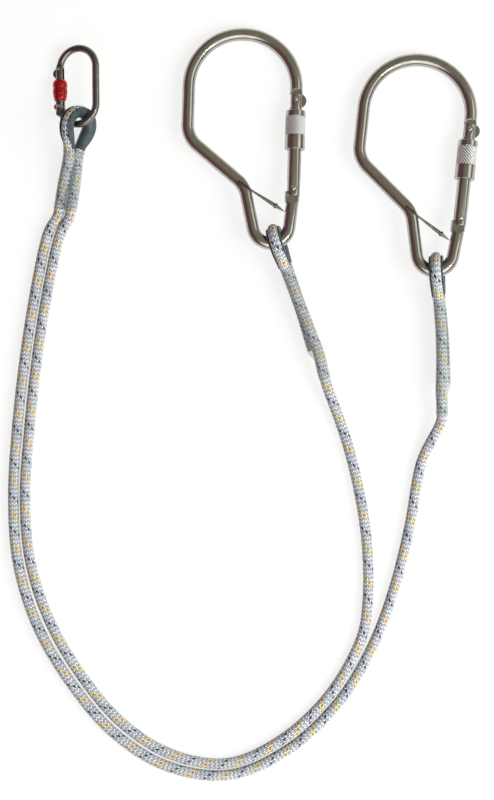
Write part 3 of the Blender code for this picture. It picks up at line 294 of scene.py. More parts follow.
def arcPoints(centre, radius, start, end, count):
    points = []
    for k in range(count + 1):
        angle = math.radians(start + (end - start) * k / count)
        points.append((centre[0] + radius * math.cos(angle), centre[1] + radius * math.sin(angle)))
    return points


def fillet(before, corner, after, radius, count):
    corner = Vector(corner)
    back = (Vector(before) - corner).normalized()
    onward = (Vector(after) - corner).normalized()
    half = back.angle(onward) / 2
    reach = radius / math.tan(half)
    centre = corner + (back + onward).normalized() * radius / math.sin(half)
    first = corner + back * reach - centre
    turn = first.angle_signed(corner + onward * reach - centre)
    return [tuple(centre + Matrix.Rotation(-turn * k / count, 2) @ first) for k in range(count + 1)]


def distances(points):
    # how far each point lies along the line
    gaps = np.linalg.norm(np.diff(points, axis=0), axis=1)
    return np.concatenate([[0.0], np.cumsum(gaps)])


def evenSteps(points, step):
    # the same line with points at even distances
    points = np.asarray(points, float)
    lengths = distances(points)
    wanted = np.linspace(0, lengths[-1], max(2, round(lengths[-1] / step)) + 1)
    return np.stack([np.interp(wanted, lengths, points[:, k]) for k in range(3)], axis=1)


def directions(points):
    run = np.gradient(np.asarray(points, float), axis=0)
    return run / np.linalg.norm(run, axis=1)[:, None]


def sweepFrames(points, firstSide=(0.0, 0.0, 1.0)):
    # two directions across the line at each point, which don't twist along it
    along = directions(points)
    side = np.asarray(firstSide, float)
    sides = []
    for run in along:
        side = side - side.dot(run) * run
        side = side / np.linalg.norm(side)
        sides.append(side)
    sides = np.array(sides)
    return sides, np.cross(along, sides)


# rope eyes: one line runs round each eye and back down beside itself in the splice

gap = 0.3                    # between parts that fit or move in one another
eyeSizes = {
    'ropeRadius': 6.0,
    'spread': 12.6,          # centre distance of the two ropes in a splice
    'crownRadius': 16.6,
    'sideLean': 20.0,        # degrees
    'blendRadius': 40.0,
    'thimbleWall': 1.2,
    'thimbleFlange': 2.0,
    'thimbleLength': 26.0,
    'sleeveStart': 27.2,
    'sleeveOuter': 7.6,
    'lift': 0.25,
    'levelLength': 52.0,     # from the crown to where a splice lies level
    'harnessSleeve': 65.0,
    'hookSleeve': 129.0,
    'hookTail': 96.0,
    'tailNeck': 14.0,
    'tailSlope': 9.0,
    'tailEndHeight': 15.5,
}
channelRadius = eyeSizes['ropeRadius'] + gap
facetRadius = channelRadius / math.cos(math.radians(15))
clearRadius = eyeSizes['crownRadius'] - facetRadius - eyeSizes['thimbleWall']
eyeFlat = eyeSizes['thimbleLength'] + gap
spliceHeight = eyeSizes['sleeveOuter'] + eyeSizes['lift']


def hermite(start, startSlope, end, endSlope, t):
    return (
        start * (2 * t ** 3 - 3 * t ** 2 + 1) + startSlope * (t ** 3 - 2 * t ** 2 + t)
        + end * (3 * t ** 2 - 2 * t ** 3) + endSlope * (t ** 3 - t ** 2)
    )


def headed(heading, slope=0.0):
    # the direction of a pull, from -Y towards +X and down, in radians
    flat = math.cos(slope)
    return Vector((math.sin(heading) * flat, -math.cos(heading) * flat, -math.sin(slope)))


def easedBetween(eye, length, first, last):
    share = ease((length - eyeFlat) / (eye['length'] - eyeFlat))
    return eye[first] + (eye[last] - eye[first]) * share


def levelHeight(eye, length):
    return spliceHeight + eyeSizes['spread'] / 2 * math.sin(easedBetween(eye, length, 'tilt', 'endTilt'))


def eyeHeightAt(eye, length):
    slope = eye['slope']
    if length <= eyeFlat:
        return eye['crown'].z - length * math.sin(slope)
    if length >= eyeSizes['levelLength']:
        return levelHeight(eye, length)
    span = eyeSizes['levelLength'] - eyeFlat
    start = eye['crown'].z - eyeFlat * math.sin(slope)
    end = levelHeight(eye, eyeSizes['levelLength'])
    return hermite(start, -math.tan(slope) * span, end, 0.0, (length - eyeFlat) / span)


def eyeCentre(eye, length):
    place = eye['crown'] + headed(eye['pull'], eye['slope']) * min(length, eyeFlat)
    steps = max(0, math.ceil(length - eyeFlat))
    for k in range(steps):
        step = (length - eyeFlat) / steps
        place += headed(easedBetween(eye, eyeFlat + (k + 0.5) * step, 'pull', 'endPull')) * step
    place.z = eyeHeightAt(eye, length)
    return place


def eyeFrame(eye, length):
    # centre, direction, side (the lower rope) and normal (towards the viewer)
    if length <= eyeFlat:
        along = headed(eye['pull'], eye['slope'])
    else:
        along = (eyeCentre(eye, length + 0.5) - eyeCentre(eye, length - 0.5)).normalized()
    right = Vector((0, 0, 1)).cross(along).normalized()
    up = along.cross(right)
    turn = easedBetween(eye, length, 'tilt', 'endTilt')
    side = math.cos(turn) * right - math.sin(turn) * up
    normal = math.sin(turn) * right + math.cos(turn) * up
    return eyeCentre(eye, length), along, side, normal


def eyePoint(eye, side, length):
    centre, along, across, normal = eyeFrame(eye, length)
    return centre + side * across


def loopOutline(crownSteps=56, sideSteps=10):
    # rope centre round an eye as (side, length), from one parallel run to the other
    lean = math.radians(eyeSizes['sideLean'])
    half = eyeSizes['spread'] / 2
    crown, blend = eyeSizes['crownRadius'], eyeSizes['blendRadius']
    meet = crown * math.sin(lean) + (crown * math.cos(lean) - half) / math.tan(lean)
    blendEnd = meet + blend * math.tan(lean / 2)
    leg = []
    for k in range(sideSteps + 1):
        rest = lean * k / sideSteps
        leg.append((half + blend * (1 - math.cos(rest)), blendEnd - blend * math.sin(rest)))
    start = (crown * math.cos(lean), crown * math.sin(lean))
    last = leg[-1]
    for k in range(1, 4):
        leg.append((last[0] + (start[0] - last[0]) * k / 4, last[1] + (start[1] - last[1]) * k / 4))
    loop = []
    for k in range(crownSteps + 1):
        angle = lean - (math.pi + 2 * lean) * k / crownSteps
        loop.append((crown * math.cos(angle), crown * math.sin(angle)))
    return leg + loop + [(-side, length) for side, length in reversed(leg)]


def ropeRound(eye, nearEnd, farEnd):
    # points about 3 mm apart down both sides of the splice, and the outline between them
    outline = loopOutline()
    half, first = eyeSizes['spread'] / 2, outline[0][1]
    near, far = (
        np.linspace(end, first, max(2, round((end - first) / 3.0)), endpoint=False).tolist()
        for end in (nearEnd, farEnd)
    )
    stations = [(half, length) for length in near] + outline + [(-half, length) for length in far[::-1]]
    return [eyePoint(eye, side, length) for side, length in stations]


def tailCurve(eye, tail, count=24):
    # the rope that goes on past the tail's end, down towards the floor
    half = eyeSizes['spread'] / 2
    start = eyePoint(eye, -half, tail)
    span = eye['length'] - tail
    startSlope = (start - eyePoint(eye, -half, tail - 1)) * span
    end = eyeCentre(eye, eye['length'])
    end.z = eyeSizes['tailEndHeight']
    endSlope = headed(eye['endPull'], math.radians(eyeSizes['tailSlope'])) * span
    return [hermite(start, startSlope, end, endSlope, k / count) for k in range(count + 1)]


# where the connectors lie; each has a frame with its origin on the gate's hinge, +Y to the nose

hook = {
    'bar': 14.0, 'gate': 15.0, 'gateTopWidth': 13.6, 'gateTop': 104.3, 'heel': 8.5,
    'tongue': 5.0, 'cam': 6.0, 'lift': 2.0, 'gateAngle': 45.0, 'rivet': 4.0, 'pin': 4.0,
    'pinHeight': 98.5, 'ear': 7.8, 'earCentre': (3.5, 97.0), 'tabDrop': 2.2, 'tabReach': 4.9,
    'noseEnd': 110.5, 'collar': 8.1, 'collarHeight': 5.1, 'collarShift': 1.5, 'lip': 5.3,
    'hingeEar': 0.0, 'lock': 22.0, 'lockLength': 47.0, 'backedOff': 3.0, 'spring': 6.8,
    'springWire': 0.9, 'springLength': 26.0, 'hingeArch': (-0.9, -8.5, 8.4), 'hingeFlat': 4.6,
    'noseArch': (0.0, 101.7, 7.3),
    'edge': 0.28, 'archEdge': 0.9, 'metal': 'polished_steel', 'lockMetal': 'polished_steel',
    'headRadius': 59.0, 'neckHeight': 53.5, 'eyeCorner': (-54.0, 1.7), 'cornerRadius': 30.0,
    'bowPoint': (-14.9, -166.0), 'bowRadius': 20.0, 'slope': 14.0, 'tilt': 80.0, 'intoClaw': (3.0, 6.5),
}
oval = {
    'bar': 8.0, 'gate': 10.0, 'gateTopWidth': 9.4, 'gateTop': 43.9, 'heel': 5.6,
    'tongue': 3.2, 'cam': 3.9, 'lift': 0.9, 'gateAngle': 30.0, 'rivet': 3.0, 'pin': 2.6,
    'pinHeight': 41.0, 'ear': 5.5, 'earCentre': (2.4, 36.6), 'tabDrop': 1.3, 'tabReach': 3.3,
    'noseEnd': 0.0, 'collar': 5.6, 'collarHeight': 2.6, 'collarShift': 1.0, 'lip': 3.4,
    'hingeEar': 3.5, 'lock': 16.0, 'lockLength': 23.0, 'backedOff': 2.0, 'spring': 4.0,
    'springWire': 0.6, 'springLength': 13.0, 'hingeArch': (-0.6, -5.4, 5.0), 'hingeFlat': 2.9,
    'noseArch': (0.0, 33.8, 11.7),
    'edge': 0.168, 'archEdge': 0.54, 'metal': 'dark_steel', 'lockMetal': 'red_anodised',
    'radius': 21.8, 'straight': 40.2, 'arcRise': 0.4, 'arcSteps': 13, 'tiltUp': 22.0,
    'seat': 2.8, 'slope': 7.0, 'tilt': 49.5, 'intoClaw': (4.0,),
}
oval['noseEnd'] = oval['straight'] + oval['arcRise'] + oval['radius'] * math.sin(math.pi / oval['arcSteps'])
placing = {
    'floorGap': 0.02,
    'left': {'hinge': (30.0, 35.3), 'lean': 1.73, 'pull': 20.0, 'endTilt': 115.0, 'endPull': 18.5},
    'right': {'hinge': (212.1, 3.0), 'lean': 6.44, 'pull': 6.0, 'endTilt': 65.0, 'endPull': -3.0},
    'harness': {'hinge': (-225.8, 126.3), 'lean': -0.9, 'pull': -9.5, 'endTilt': 0.0, 'endPull': -9.5},
}


def legX(y):
    # centre of a hook's gate-side leg at a height
    x0, y0 = 0.0, -(hook['heel'] + gap) / 2
    x1, y1 = hook['bowPoint']
    return x0 + (x1 - x0) * (y - y0) / (y1 - y0)


def bowCentre():
    hingeSide = Vector((0.0, -(hook['heel'] + gap) / 2))
    point, corner = Vector(hook['bowPoint']), Vector(hook['eyeCorner'])
    one = (hingeSide - point).normalized()
    two = (corner - point).normalized()
    return point + (one + two).normalized() * hook['bowRadius'] / math.sin(one.angle(two) / 2)


def crownHeight(spec):
    tilt, slope = math.radians(spec['tilt']), math.radians(spec['slope'])
    crown = eyeSizes['crownRadius']
    low = eyeSizes['ropeRadius'] + crown * math.hypot(math.sin(slope), math.sin(tilt) * math.cos(slope))
    outside = facetRadius + eyeSizes['thimbleWall']
    flange = (crown + eyeSizes['thimbleFlange']) * math.sin(tilt) + outside * math.cos(tilt)
    return max(low, flange) + eyeSizes['lift']


def placed(spec, spot, crossing, height, turns, seat, sleeveLength):
    # the connector's place, and the rope eye where its bar crosses it
    matrix = Matrix.Translation((*spot['hinge'], height))
    for axis, angle in zip('ZXY', (-math.radians(spot['lean']), *turns)):
        matrix = matrix @ Matrix.Rotation(angle, 4, axis)
    both = {**spec, **spot}
    eye = {name: math.radians(both[name]) for name in ('pull', 'slope', 'tilt', 'endTilt', 'endPull')}
    eye['crown'] = matrix @ crossing + headed(eye['pull'], eye['slope']) * seat
    eye['length'] = eyeSizes['sleeveStart'] + sleeveLength
    return matrix, eye


def placeHook(side):
    spot = placing[side]
    seat = clearRadius - hook['bar'] / 2 - gap
    crossHeight = crownHeight(hook) + seat * math.sin(math.radians(hook['slope']))
    turn = math.radians(spot['lean'] + spot['pull'])
    crossing = bowCentre() + hook['bowRadius'] * Vector((math.sin(turn), -math.cos(turn)))
    top = hook['noseEnd'] + hook['headRadius']
    pitch = math.asin((crossHeight - hook['bar'] / 2 - placing['floorGap']) / (top - crossing.y))
    height = crossHeight + crossing.y * math.sin(pitch)
    return placed(hook, spot, crossing.to_3d(), height, (-pitch, 0.0), seat, eyeSizes['hookSleeve'])


def placeOval():
    tilt = math.radians(oval['tiltUp'])
    seat = clearRadius - oval['bar'] / 2 - oval['seat']
    crossHeight = crownHeight(oval) + seat * math.sin(math.radians(oval['slope']))
    crossing = Vector((-oval['radius'], oval['arcRise'] - oval['radius'], 0))
    lockTop = oval['earCentre'][1] - oval['ear']
    lockRadius = oval['lock'] / 2
    rise = crossHeight - oval['radius'] * math.sin(tilt) - lockRadius - placing['floorGap']
    pitch = math.asin(rise / (lockTop - crossing.y))
    height = lockRadius + placing['floorGap'] + lockTop * math.sin(pitch)
    turns = (-pitch, math.pi - tilt)
    return placed(oval, placing['harness'], crossing, height, turns, seat, eyeSizes['harnessSleeve'])


leftMatrix, leftEye = placeHook('left')
rightMatrix, rightEye = placeHook('right')
ovalMatrix, harnessEye = placeOval()


# the two free legs; every route point is the source's own, in metres

legs = {
    'diameter': 0.012,
    # centre line of the pair and half their distance, from the harness on
    'pair': [
        (-0.2348, -0.0187, 0.0065), (-0.2492, -0.0891, 0.0065), (-0.2598, -0.1603, 0.0066),
        (-0.2673, -0.2314, 0.0067), (-0.2714, -0.3027, 0.0064), (-0.2661, -0.3729, 0.0068),
        (-0.2452, -0.4399, 0.0072), (-0.2096, -0.5014, 0.0070), (-0.1642, -0.5549, 0.0070),
        (-0.1073, -0.5914, 0.0068), (-0.0404, -0.6014, 0.0064), (0.0222, -0.5735, 0.0064),
        (0.0740, -0.5249, 0.0064), (0.1090, -0.4665, 0.0072),
    ],
    'left': [(0.1118, -0.4169), (0.1113, -0.3579), (0.1032, -0.2999), (0.0884, -0.2399)],
    'right': [(0.1393, -0.4079), (0.1576, -0.3359), (0.1704, -0.2659)],
    'samples': 40,           # between two route points
}


def smoothRoute(knots, samples):
    result = []
    for i in range(1, len(knots) - 2):
        a, b, c, d = knots[i - 1:i + 3]
        for k in range(samples):
            t = k / samples
            result.append(0.5 * (
                2 * b + (c - a) * t + (2 * a - 5 * b + 4 * c - d) * t ** 2
                + (3 * b - 3 * c + d - a) * t ** 3
            ))
    return result + [knots[-2]]


def legLine(sign, ownRoute, hookEnd):
    # points in millimetres, from the harness splice to a hook's splice
    start = eyePoint(harnessEye, sign * eyeSizes['spread'] / 2, harnessEye['length'])
    before = eyePoint(harnessEye, sign * eyeSizes['spread'] / 2, harnessEye['length'] - 12.0)
    along = (start - before).normalized()
    arrival = (hookEnd[-1] - hookEnd[-2]).normalized()
    floor = eyeSizes['ropeRadius'] + placing['floorGap']
    route = [start + along * (eyeSizes['ropeRadius'] + gap)]
    pair = legs['pair']
    for i, (x, y, half) in enumerate(pair):
        run = Vector(pair[min(i + 1, len(pair) - 1)][:2]) - Vector(pair[max(i - 1, 0)][:2])
        run.normalize()
        place = Vector((x - sign * half * run.y, y + sign * half * run.x)) / mm
        route.append(Vector((*place, floor)))
    route += [Vector((x / mm, y / mm, floor)) for x, y in ownRoute]
    route.append(hookEnd[-1] + arrival * (eyeSizes['ropeRadius'] + gap))
    reach = (route[1] - route[0]).length
    knots = [route[0] - along * reach] + route + [route[-1] - arrival * reach]
    line = [start] + smoothRoute(knots, legs['samples']) + [hookEnd[-1]]
    for point in line:
        point.z = max(point.z, floor)
    return line


hookTailLength = eyeSizes['sleeveStart'] + eyeSizes['hookTail']


def hookRope(eye):
    # from the tail's end in the splice, round the eye and out to the leg
    round_ = ropeRound(eye, hookTailLength - gap, hookTailLength)
    return round_ + tailCurve(eye, hookTailLength)[1:]


# the sheath: sixteen carriers each way, plaited two over two, with gold and navy tracers

sheath = {
    'strands': 16,
    'pitch': 37.0,           # along the rope, for one turn of a carrier
    'pointsRound': 70,
    'ringStep': 0.88,
    'crown': 6.0,            # radius at a carrier's crown
    'relief': 0.65,          # from the crown to the groove beside a carrier
    'navyCarrier': 3.0,
    'goldCarrier': 11.0,     # the middle one of three
}


def braidHeight(turn, length):
    across = sheath['strands'] * (turn + length / sheath['pitch'])
    other = sheath['strands'] * (turn - length / sheath['pitch'])
    step = np.mod(np.floor(across) + np.floor(other), 4)
    over = step < 2
    width = np.where(over, across % 1, other % 1)
    travel = np.where(over, step + other % 1, step - 2 + across % 1) / 2
    bulge = np.sqrt(np.clip(1 - (2 * width - 1) ** 2, 0, 1))
    return bulge * (0.5 + 0.5 * np.sin(np.pi * np.clip(travel, 0, 1)))


def braidedTube(name, centres, sides, ups, lengths):
    count = sheath['pointsRound']
    turns = np.arange(count) / count
    height = braidHeight(turns[None, :], lengths[:, None])
    rings = ringsAlong(centres, sides, ups, sheath['crown'] - sheath['relief'] * (1 - height))
    obj = tubeObject(name, rings)
    # a map whose two directions count the carriers that wind each way
    across = np.stack([turns, turns + 1 / count, turns + 1 / count, turns], axis=1)[None]
    along = lengths / sheath['pitch']
    along = np.stack([along[:-1], along[:-1], along[1:], along[1:]], axis=1)[:, None, :]
    grid = sheath['strands'] * np.stack([across + along, across - along], axis=-1)
    values = np.zeros(len(obj.data.loops) * 2)
    values[:grid.size] = grid.ravel()
    obj.data.uv_layers.new(name='sheath').data.foreach_set('uv', values)
    return obj


def braidedPolyester():
    # braided polyester: matt white filament bundles, plaited, with a soft sheen on each crown, painted shade
    # in the grooves between them, and single gold and navy carriers that surface as ticks
    material, node = newMaterial('braidedPolyester')
    place = node('TexCoord').outputs['Object']
    plait = node('UVMap', uv_map='sheath')
    cells, within = (
        node('SeparateXYZ', Vector=node('VectorMath', operation=operation, Vector=plait)).outputs
        for operation in ('FLOOR', 'FRACTION')
    )
    both = node('Math', operation='ADD', Value=[cells[0], cells[1]])
    step = node('Math', operation='FLOORED_MODULO', Value=[both, 4.0])
    over = node('Math', operation='LESS_THAN', Value=[step, 1.5])
    carrier = node('Math', operation='FLOORED_MODULO', Value=[cells[0], sheath['strands']])
    # the navy carrier is fuller than the others and presses them aside
    around = node('Math', operation='ADD', Value=[carrier, within[0]])
    near = [
        node('Math', operation='COMPARE', Value=[spot, middle, reach])
        for spot, middle, reach in (
            (carrier, sheath['goldCarrier'], 1.5), (carrier, sheath['goldCarrier'], 0.5),
            (around, sheath['navyCarrier'] + 0.5, 0.9),
        )
    ]
    gold, deep, navy = (node('Math', operation='MULTIPLY', Value=[share, over]) for share in near)
    beside = node('Math', operation='MULTIPLY', Value=[near[0], 0.6])
    # a number of its own for each float
    row = node('Math', operation='DIVIDE', Value=[both, 4.0])
    row = node('Math', operation='FLOOR', Value=[row])
    line = node('Mix', Factor=over, A=cells[1], B=cells[0])
    number = node('CombineXYZ', X=line, Y=row, Z=over)
    chance = node('TexWhiteNoise', Vector=number).outputs['Value']
    dull = node('Math', operation='FLOORED_MODULO', Value=[line, 2.0])
    # how far a spot lies from the middle of its carrier, and from the middle of its float
    position = node('Mix', Factor=over, A=within[1], B=within[0])
    travel = node('Mix', Factor=over, A=within[0], B=within[1])
    travel = node('Math', operation='ADD', Value=[travel, step])
    travel = node('Math', operation='FLOORED_MODULO', Value=[travel, 2.0])
    # the grooves beside a carrier and at the ends of a float, where painted shade falls and the bump sinks
    edges = []
    for spot, middle, begins, full in ((position, 0.5, 0.33, 0.5), (travel, 1.0, 0.62, 0.95)):
        away = node('Math', operation='SUBTRACT', Value=[spot, middle])
        away = node('Math', operation='ABSOLUTE', Value=[away])
        edges.append(node('MapRange', Value=away, From_Min=begins, From_Max=full))
    grooveShadeAndRelief = node('Math', operation='MAXIMUM', Value=edges)
    soil = node('TexNoise', Vector=place, Scale=perMetre(14))
    soil = node('MapRange', Value=soil, From_Min=0.35, From_Max=0.7)
    # each float catches the light a little unlike the next, every other carrier is duller, and painted shade
    # darkens the grooves
    base = '#e8ecf0'
    for blend, share, colour in (
        ('MIX', chance, '#ffffff'), ('MULTIPLY', dull, '#b9c0c9'), ('MULTIPLY', soil, '#e6eaef'),
        ('MIX', beside, '#fdf0c4'), ('MIX', gold, '#f0d995'), ('MIX', deep, '#ad8434'),
        ('MIX', navy, '#1f2c4c'), ('MULTIPLY', grooveShadeAndRelief, '#525968'),
    ):
        base = node('Mix', data_type='RGBA', blend_type=blend, Factor=share, A=base, B=colour)
    bulge = node('Math', operation='SUBTRACT', Value=[1.0, grooveShadeAndRelief])
    bulge = node('Math', operation='SQRT', Value=[bulge])
    plaited = node('Bump', Height=bulge, Distance=0.5 * mm, Strength=1.0)
    # four fine filament ridges to a carrier, drawn coarse enough to show
    ridges = node('Math', operation='MULTIPLY', Value=[position, 8 * math.pi])
    ridges = node('Math', operation='SINE', Value=[ridges])
    fuzz = node('TexNoise', Vector=place, Scale=perMetre(0.35))
    height = node('Math', operation='MULTIPLY_ADD', Value=[ridges, 0.5, fuzz])
    relief = node('Bump', Height=height, Distance=0.08 * mm, Strength=0.5, Normal=plaited)
    shader = node('BsdfPrincipled', Base_Color=base, Roughness=0.62, IOR=1.5, Sheen_Weight=0.2,
                  Normal=relief)
    node('OutputMaterial', Surface=shader)
    return material


leftLegLine = legLine(1, legs['left'], tailCurve(leftEye, hookTailLength, 4))
rightLegLine = legLine(-1, legs['right'], tailCurve(rightEye, hookTailLength, 4))
harnessRope = ropeRound(harnessEye, harnessEye['length'], harnessEye['length'])
ropeParts = [
    ('leftEyeRope', 'left_eye_rope', hookRope(leftEye)),
    ('leftLegRope', 'left_leg_rope', leftLegLine[::-1]),
    ('harnessEyeRope', 'harness_eye_rope', harnessRope),
    ('rightLegRope', 'right_leg_rope', rightLegLine),
    ('rightEyeRope', 'right_eye_rope', hookRope(rightEye)[::-1]),
]
ropeLength = {'leftLegRope': 1.23, 'rightLegRope': 1.24}   # metres


def buildRope():
    # one length of rope, so that the plait and the tracers run on from piece to piece
    stretches = [evenSteps(line, sheath['ringStep']) for name, node, line in ropeParts]
    starts = np.concatenate([[0], np.cumsum([len(points) - 1 for points in stretches])])
    centres = np.concatenate([points[:-1] for points in stretches] + [stretches[-1][-1:]])
    # a running mean takes the kinks out of the joined lines
    soft = 4
    padded = np.concatenate([[centres[0]] * soft, centres, [centres[-1]] * soft])
    kernel = np.ones(2 * soft + 1) / (2 * soft + 1)
    smooth = np.stack([np.convolve(padded[:, k], kernel, 'valid') for k in range(3)], axis=1)
    smooth[:soft], smooth[-soft:] = centres[:soft], centres[-soft:]
    lengths = distances(smooth)
    sides, ups = sweepFrames(smooth)
    material = braidedPolyester()
    for (name, node, line), first, last in zip(ropeParts, starts, starts[1:]):
        cut = slice(first, last + 1)
        obj = braidedTube(name, smooth[cut], sides[cut], ups[cut], lengths[cut])
        dress(obj, material, 'rope_and_splices', node)
        if name in ropeLength:
            path = smooth[cut] * mm
            if name == 'leftLegRope':
                path = path[::-1]


buildRope()
print('rope laid')


# thimbles: a moulded channel round the inside of each eye

thimble = {
    'inner': 6.26,
    'wall': 1.3,
    'tipWall': 0.8,
    'tipFlange': 0.4,
    'harnessFlange': 4.4,    # past the middle of the rope, on the eye that the karabiner holds
    'lipSteps': 5,
    'arcSteps': 22,
    # injection-moulded grey-green nylon: satin, with a faint orange peel and paler worn lips
    'mouldedNylon': {
        'tones': ('#2f3a3e', '#414d50'), 'cloud': 9, 'toneRange': (0.3, 0.75), 'detail': (2.0, 2.0),
        'rough': (0.27, 0.45), 'roughRange': (0.2, 0.8), 'grain': 0.7, 'depth': 0.03,
        'worn': '#6e7a7a', 'IOR': 1.53,
    },
}


def channelRing(ropeCentre, out, normal, wall, flange):
    ring = []
    lip = thimble['lipSteps']
    for radius, order in ((thimble['inner'], 1), (thimble['inner'] + wall, -1)):
        for k in range(thimble['arcSteps'] + 1):
            angle = math.pi / 2 + math.pi * k / thimble['arcSteps']
            across = math.cos(angle) * out + order * math.sin(angle) * normal
            ring.append(ropeCentre + radius * across)
        middle = thimble['inner'] + wall / 2
        ring.append(ropeCentre + flange * 0.5 * out - order * radius * normal)
        for k in range(lip + 1):
            angle = math.pi * k / lip
            height = middle - order * wall / 2 * math.cos(angle)
            reach = flange - wall / 2 + wall / 2 * math.sin(angle)
            ring.append(ropeCentre + reach * out - order * height * normal)
        other = thimble['inner'] + (wall if order > 0 else 0.0)
        ring.append(ropeCentre + flange * 0.5 * out - order * other * normal)
    return ring


def buildThimble(name, node, eye, material):
    outline = loopOutline()
    limit = eyeSizes['thimbleLength']
    forward, across, normal = eyeFrame(eye, 0)[1:]
    reach = thimble['harnessFlange'] if eye is harnessEye else eyeSizes['thimbleFlange']
    rings = []
    for i, (side, length) in enumerate(outline):
        if length > limit + 0.4:
            continue
        run = (Vector(outline[i + 1]) - Vector(outline[i - 1])).normalized()
        outward = Vector((-run.y, run.x))
        if outward.dot(Vector((side, length - limit / 2))) < 0:
            outward = -outward
        share = ease((length - limit / 3) / (limit * 2 / 3))
        wall = thimble['wall'] + (thimble['tipWall'] - thimble['wall']) * share
        flange = reach + (thimble['tipFlange'] - reach) * share
        out = outward.x * across + outward.y * forward
        centre = eyePoint(eye, side, length)
        ring = channelRing(centre, out, normal, wall, max(flange, wall / 2))
        # the lower lip rests on the floor
        for point in ring:
            point.z = max(point.z, placing['floorGap'])
        rings.append(ring)
    dress(tubeObject(name, rings, sharpAngle=50), material, 'rope_and_splices', node)


# clear sleeves: heat-shrunk tube over each splice, a little wrinkled

sleeve = {
    'inner': 6.4,
    'wall': 0.42,
    'waist': 0.7,            # how far it draws in between the two ropes
    'wrinkle': 0.22,
    'arcSteps': 18,
    'sideSteps': 8,
    'step': 1.2,
    'lip': 0.25,             # how far each end draws in
    'narrowest': 0.6,        # distance of its two arcs' centres at the end of the neck
    'foldScale': (0.16, 0.16, 0.3),
    'creaseScale': 0.55,
    'crease': 0.35,          # depth, as a share of a fold's
    # clear heat-shrunk polyolefin: colourless film, milky where it folds, with sharp wet gloss
    'shrunkTube': {
        'tones': ('#8f9993', '#b4bcb8'), 'cloud': 6, 'toneRange': (0.35, 0.7), 'rough': (0.06, 0.2),
        'roughRange': (0.3, 0.7), 'grain': 2.4, 'depth': 0.25, 'strength': 0.6, 'IOR': 1.5,
        'Alpha': 0.16,
    },
}


def sleeveRing(low, high, normal, radius, place):
    across = (low - high).normalized()
    waist = sleeve['waist'] * min(1.0, (low - high).length / eyeSizes['spread'])
    ring = []
    for centre, other, start in ((low, high, -90), (high, low, 90)):
        for k in range(sleeve['arcSteps'] + 1):
            angle = math.radians(start + 180 * k / sleeve['arcSteps'])
            ring.append(centre + radius * (math.cos(angle) * across + math.sin(angle) * normal))
        upward = 1 if start < 0 else -1
        for k in range(1, sleeve['sideSteps']):
            share = k / sleeve['sideSteps']
            point = centre + (other - centre) * share
            ring.append(point + upward * (radius - waist * math.sin(math.pi * share)) * normal)
    wrinkled = []
    for point in ring:
        away = (point - (low + high) / 2).normalized()
        fold = noise.noise(point * Vector(sleeve['foldScale']) + Vector((0, 0, place)))
        crease = noise.noise(point * sleeve['creaseScale'])
        wrinkled.append(point + away * sleeve['wrinkle'] * (fold + sleeve['crease'] * crease))
    return wrinkled


def neckStations(points):
    # point, direction and how wide the neck still is, from the tail's end on
    stations = []
    for i in range(1, len(points)):
        run = points[min(i + 1, len(points) - 1)] - points[i - 1]
        share = 1 - ease((points[i] - points[0]).length / eyeSizes['tailNeck'])
        stations.append((points[i], run.normalized(), share))
    return stations


def halfDistance(outline, length):
    # half distance of the two ropes where a splice begins
    leg = sorted((point[1], point[0]) for point in outline if point[0] > 0 and point[1] > 0)
    return float(np.interp(length, *zip(*leg)))


def buildSleeve(name, node, eye, material, tail=None):
    stop = tail or eye['length']
    outline = loopOutline()
    count = round((stop - eyeSizes['sleeveStart']) / sleeve['step'])
    sections = []
    for k in range(count + 1):
        length = eyeSizes['sleeveStart'] + (stop - eyeSizes['sleeveStart']) * k / count
        centre, along, across, normal = eyeFrame(eye, length)
        half = halfDistance(outline, length)
        sections.append((centre + half * across, centre - half * across, normal))
    if tail:
        side, upward = eyeFrame(eye, tail)[2:]
        for point, along, share in neckStations(tailCurve(eye, tail)):
            across = (side - side.dot(along) * along).normalized()
            normal = across.cross(along)
            if normal.dot(upward) < 0:
                normal = -normal
            spread = max(eyeSizes['spread'] * share, sleeve['narrowest'])
            shift = sleeve['narrowest'] / 2 * (1 - share)
            sections.append((point + (spread - shift) * across, point - shift * across, normal))
    last = len(sections) - 1
    outer, inner = [], []
    for i, (low, high, normal) in enumerate(sections):
        lip = sleeve['lip'] * (1 - min(1.0, min(i, last - i) / 2))
        for rings, radius in ((outer, sleeve['inner'] + sleeve['wall']), (inner, sleeve['inner'])):
            rings.append(sleeveRing(low, high, normal, radius - lip, len(name)))
    obj = tubeObject(name, outer + inner[::-1], closed=True, sharpAngle=60)
    dress(obj, material, 'rope_and_splices', node)


# sewing: a bonded thread that zigzags through both ropes of a splice, on both faces

sewing = {
    'thread': 0.55,
    'plies': 2,
    'plyDepth': 0.14,
    'plyPitch': 1.9,
    'stitch': 2.6,
    'reach': 3.4,
    'inset': 12.0,
    'rise': 0.12,            # over the rope's surface
    'dive': 1.3,
    'flare': 1.12,           # a dive lies this much further out than its crossing
    'slant': (0.3, 0.35),    # along the splice, below and on the surface
    'ringStep': 0.24,
    'sides': 10,
    # bonded polyester sewing thread: grey-blue twisted plies with a waxy sheen
    'bondedThread': {
        'tones': ('#33435c', '#566a84'), 'cloud': 4, 'grain': 0.3, 'depth': 0.05, 'Roughness': 0.5,
        'IOR': 1.5, 'Sheen_Weight': 0.25,
    },
}


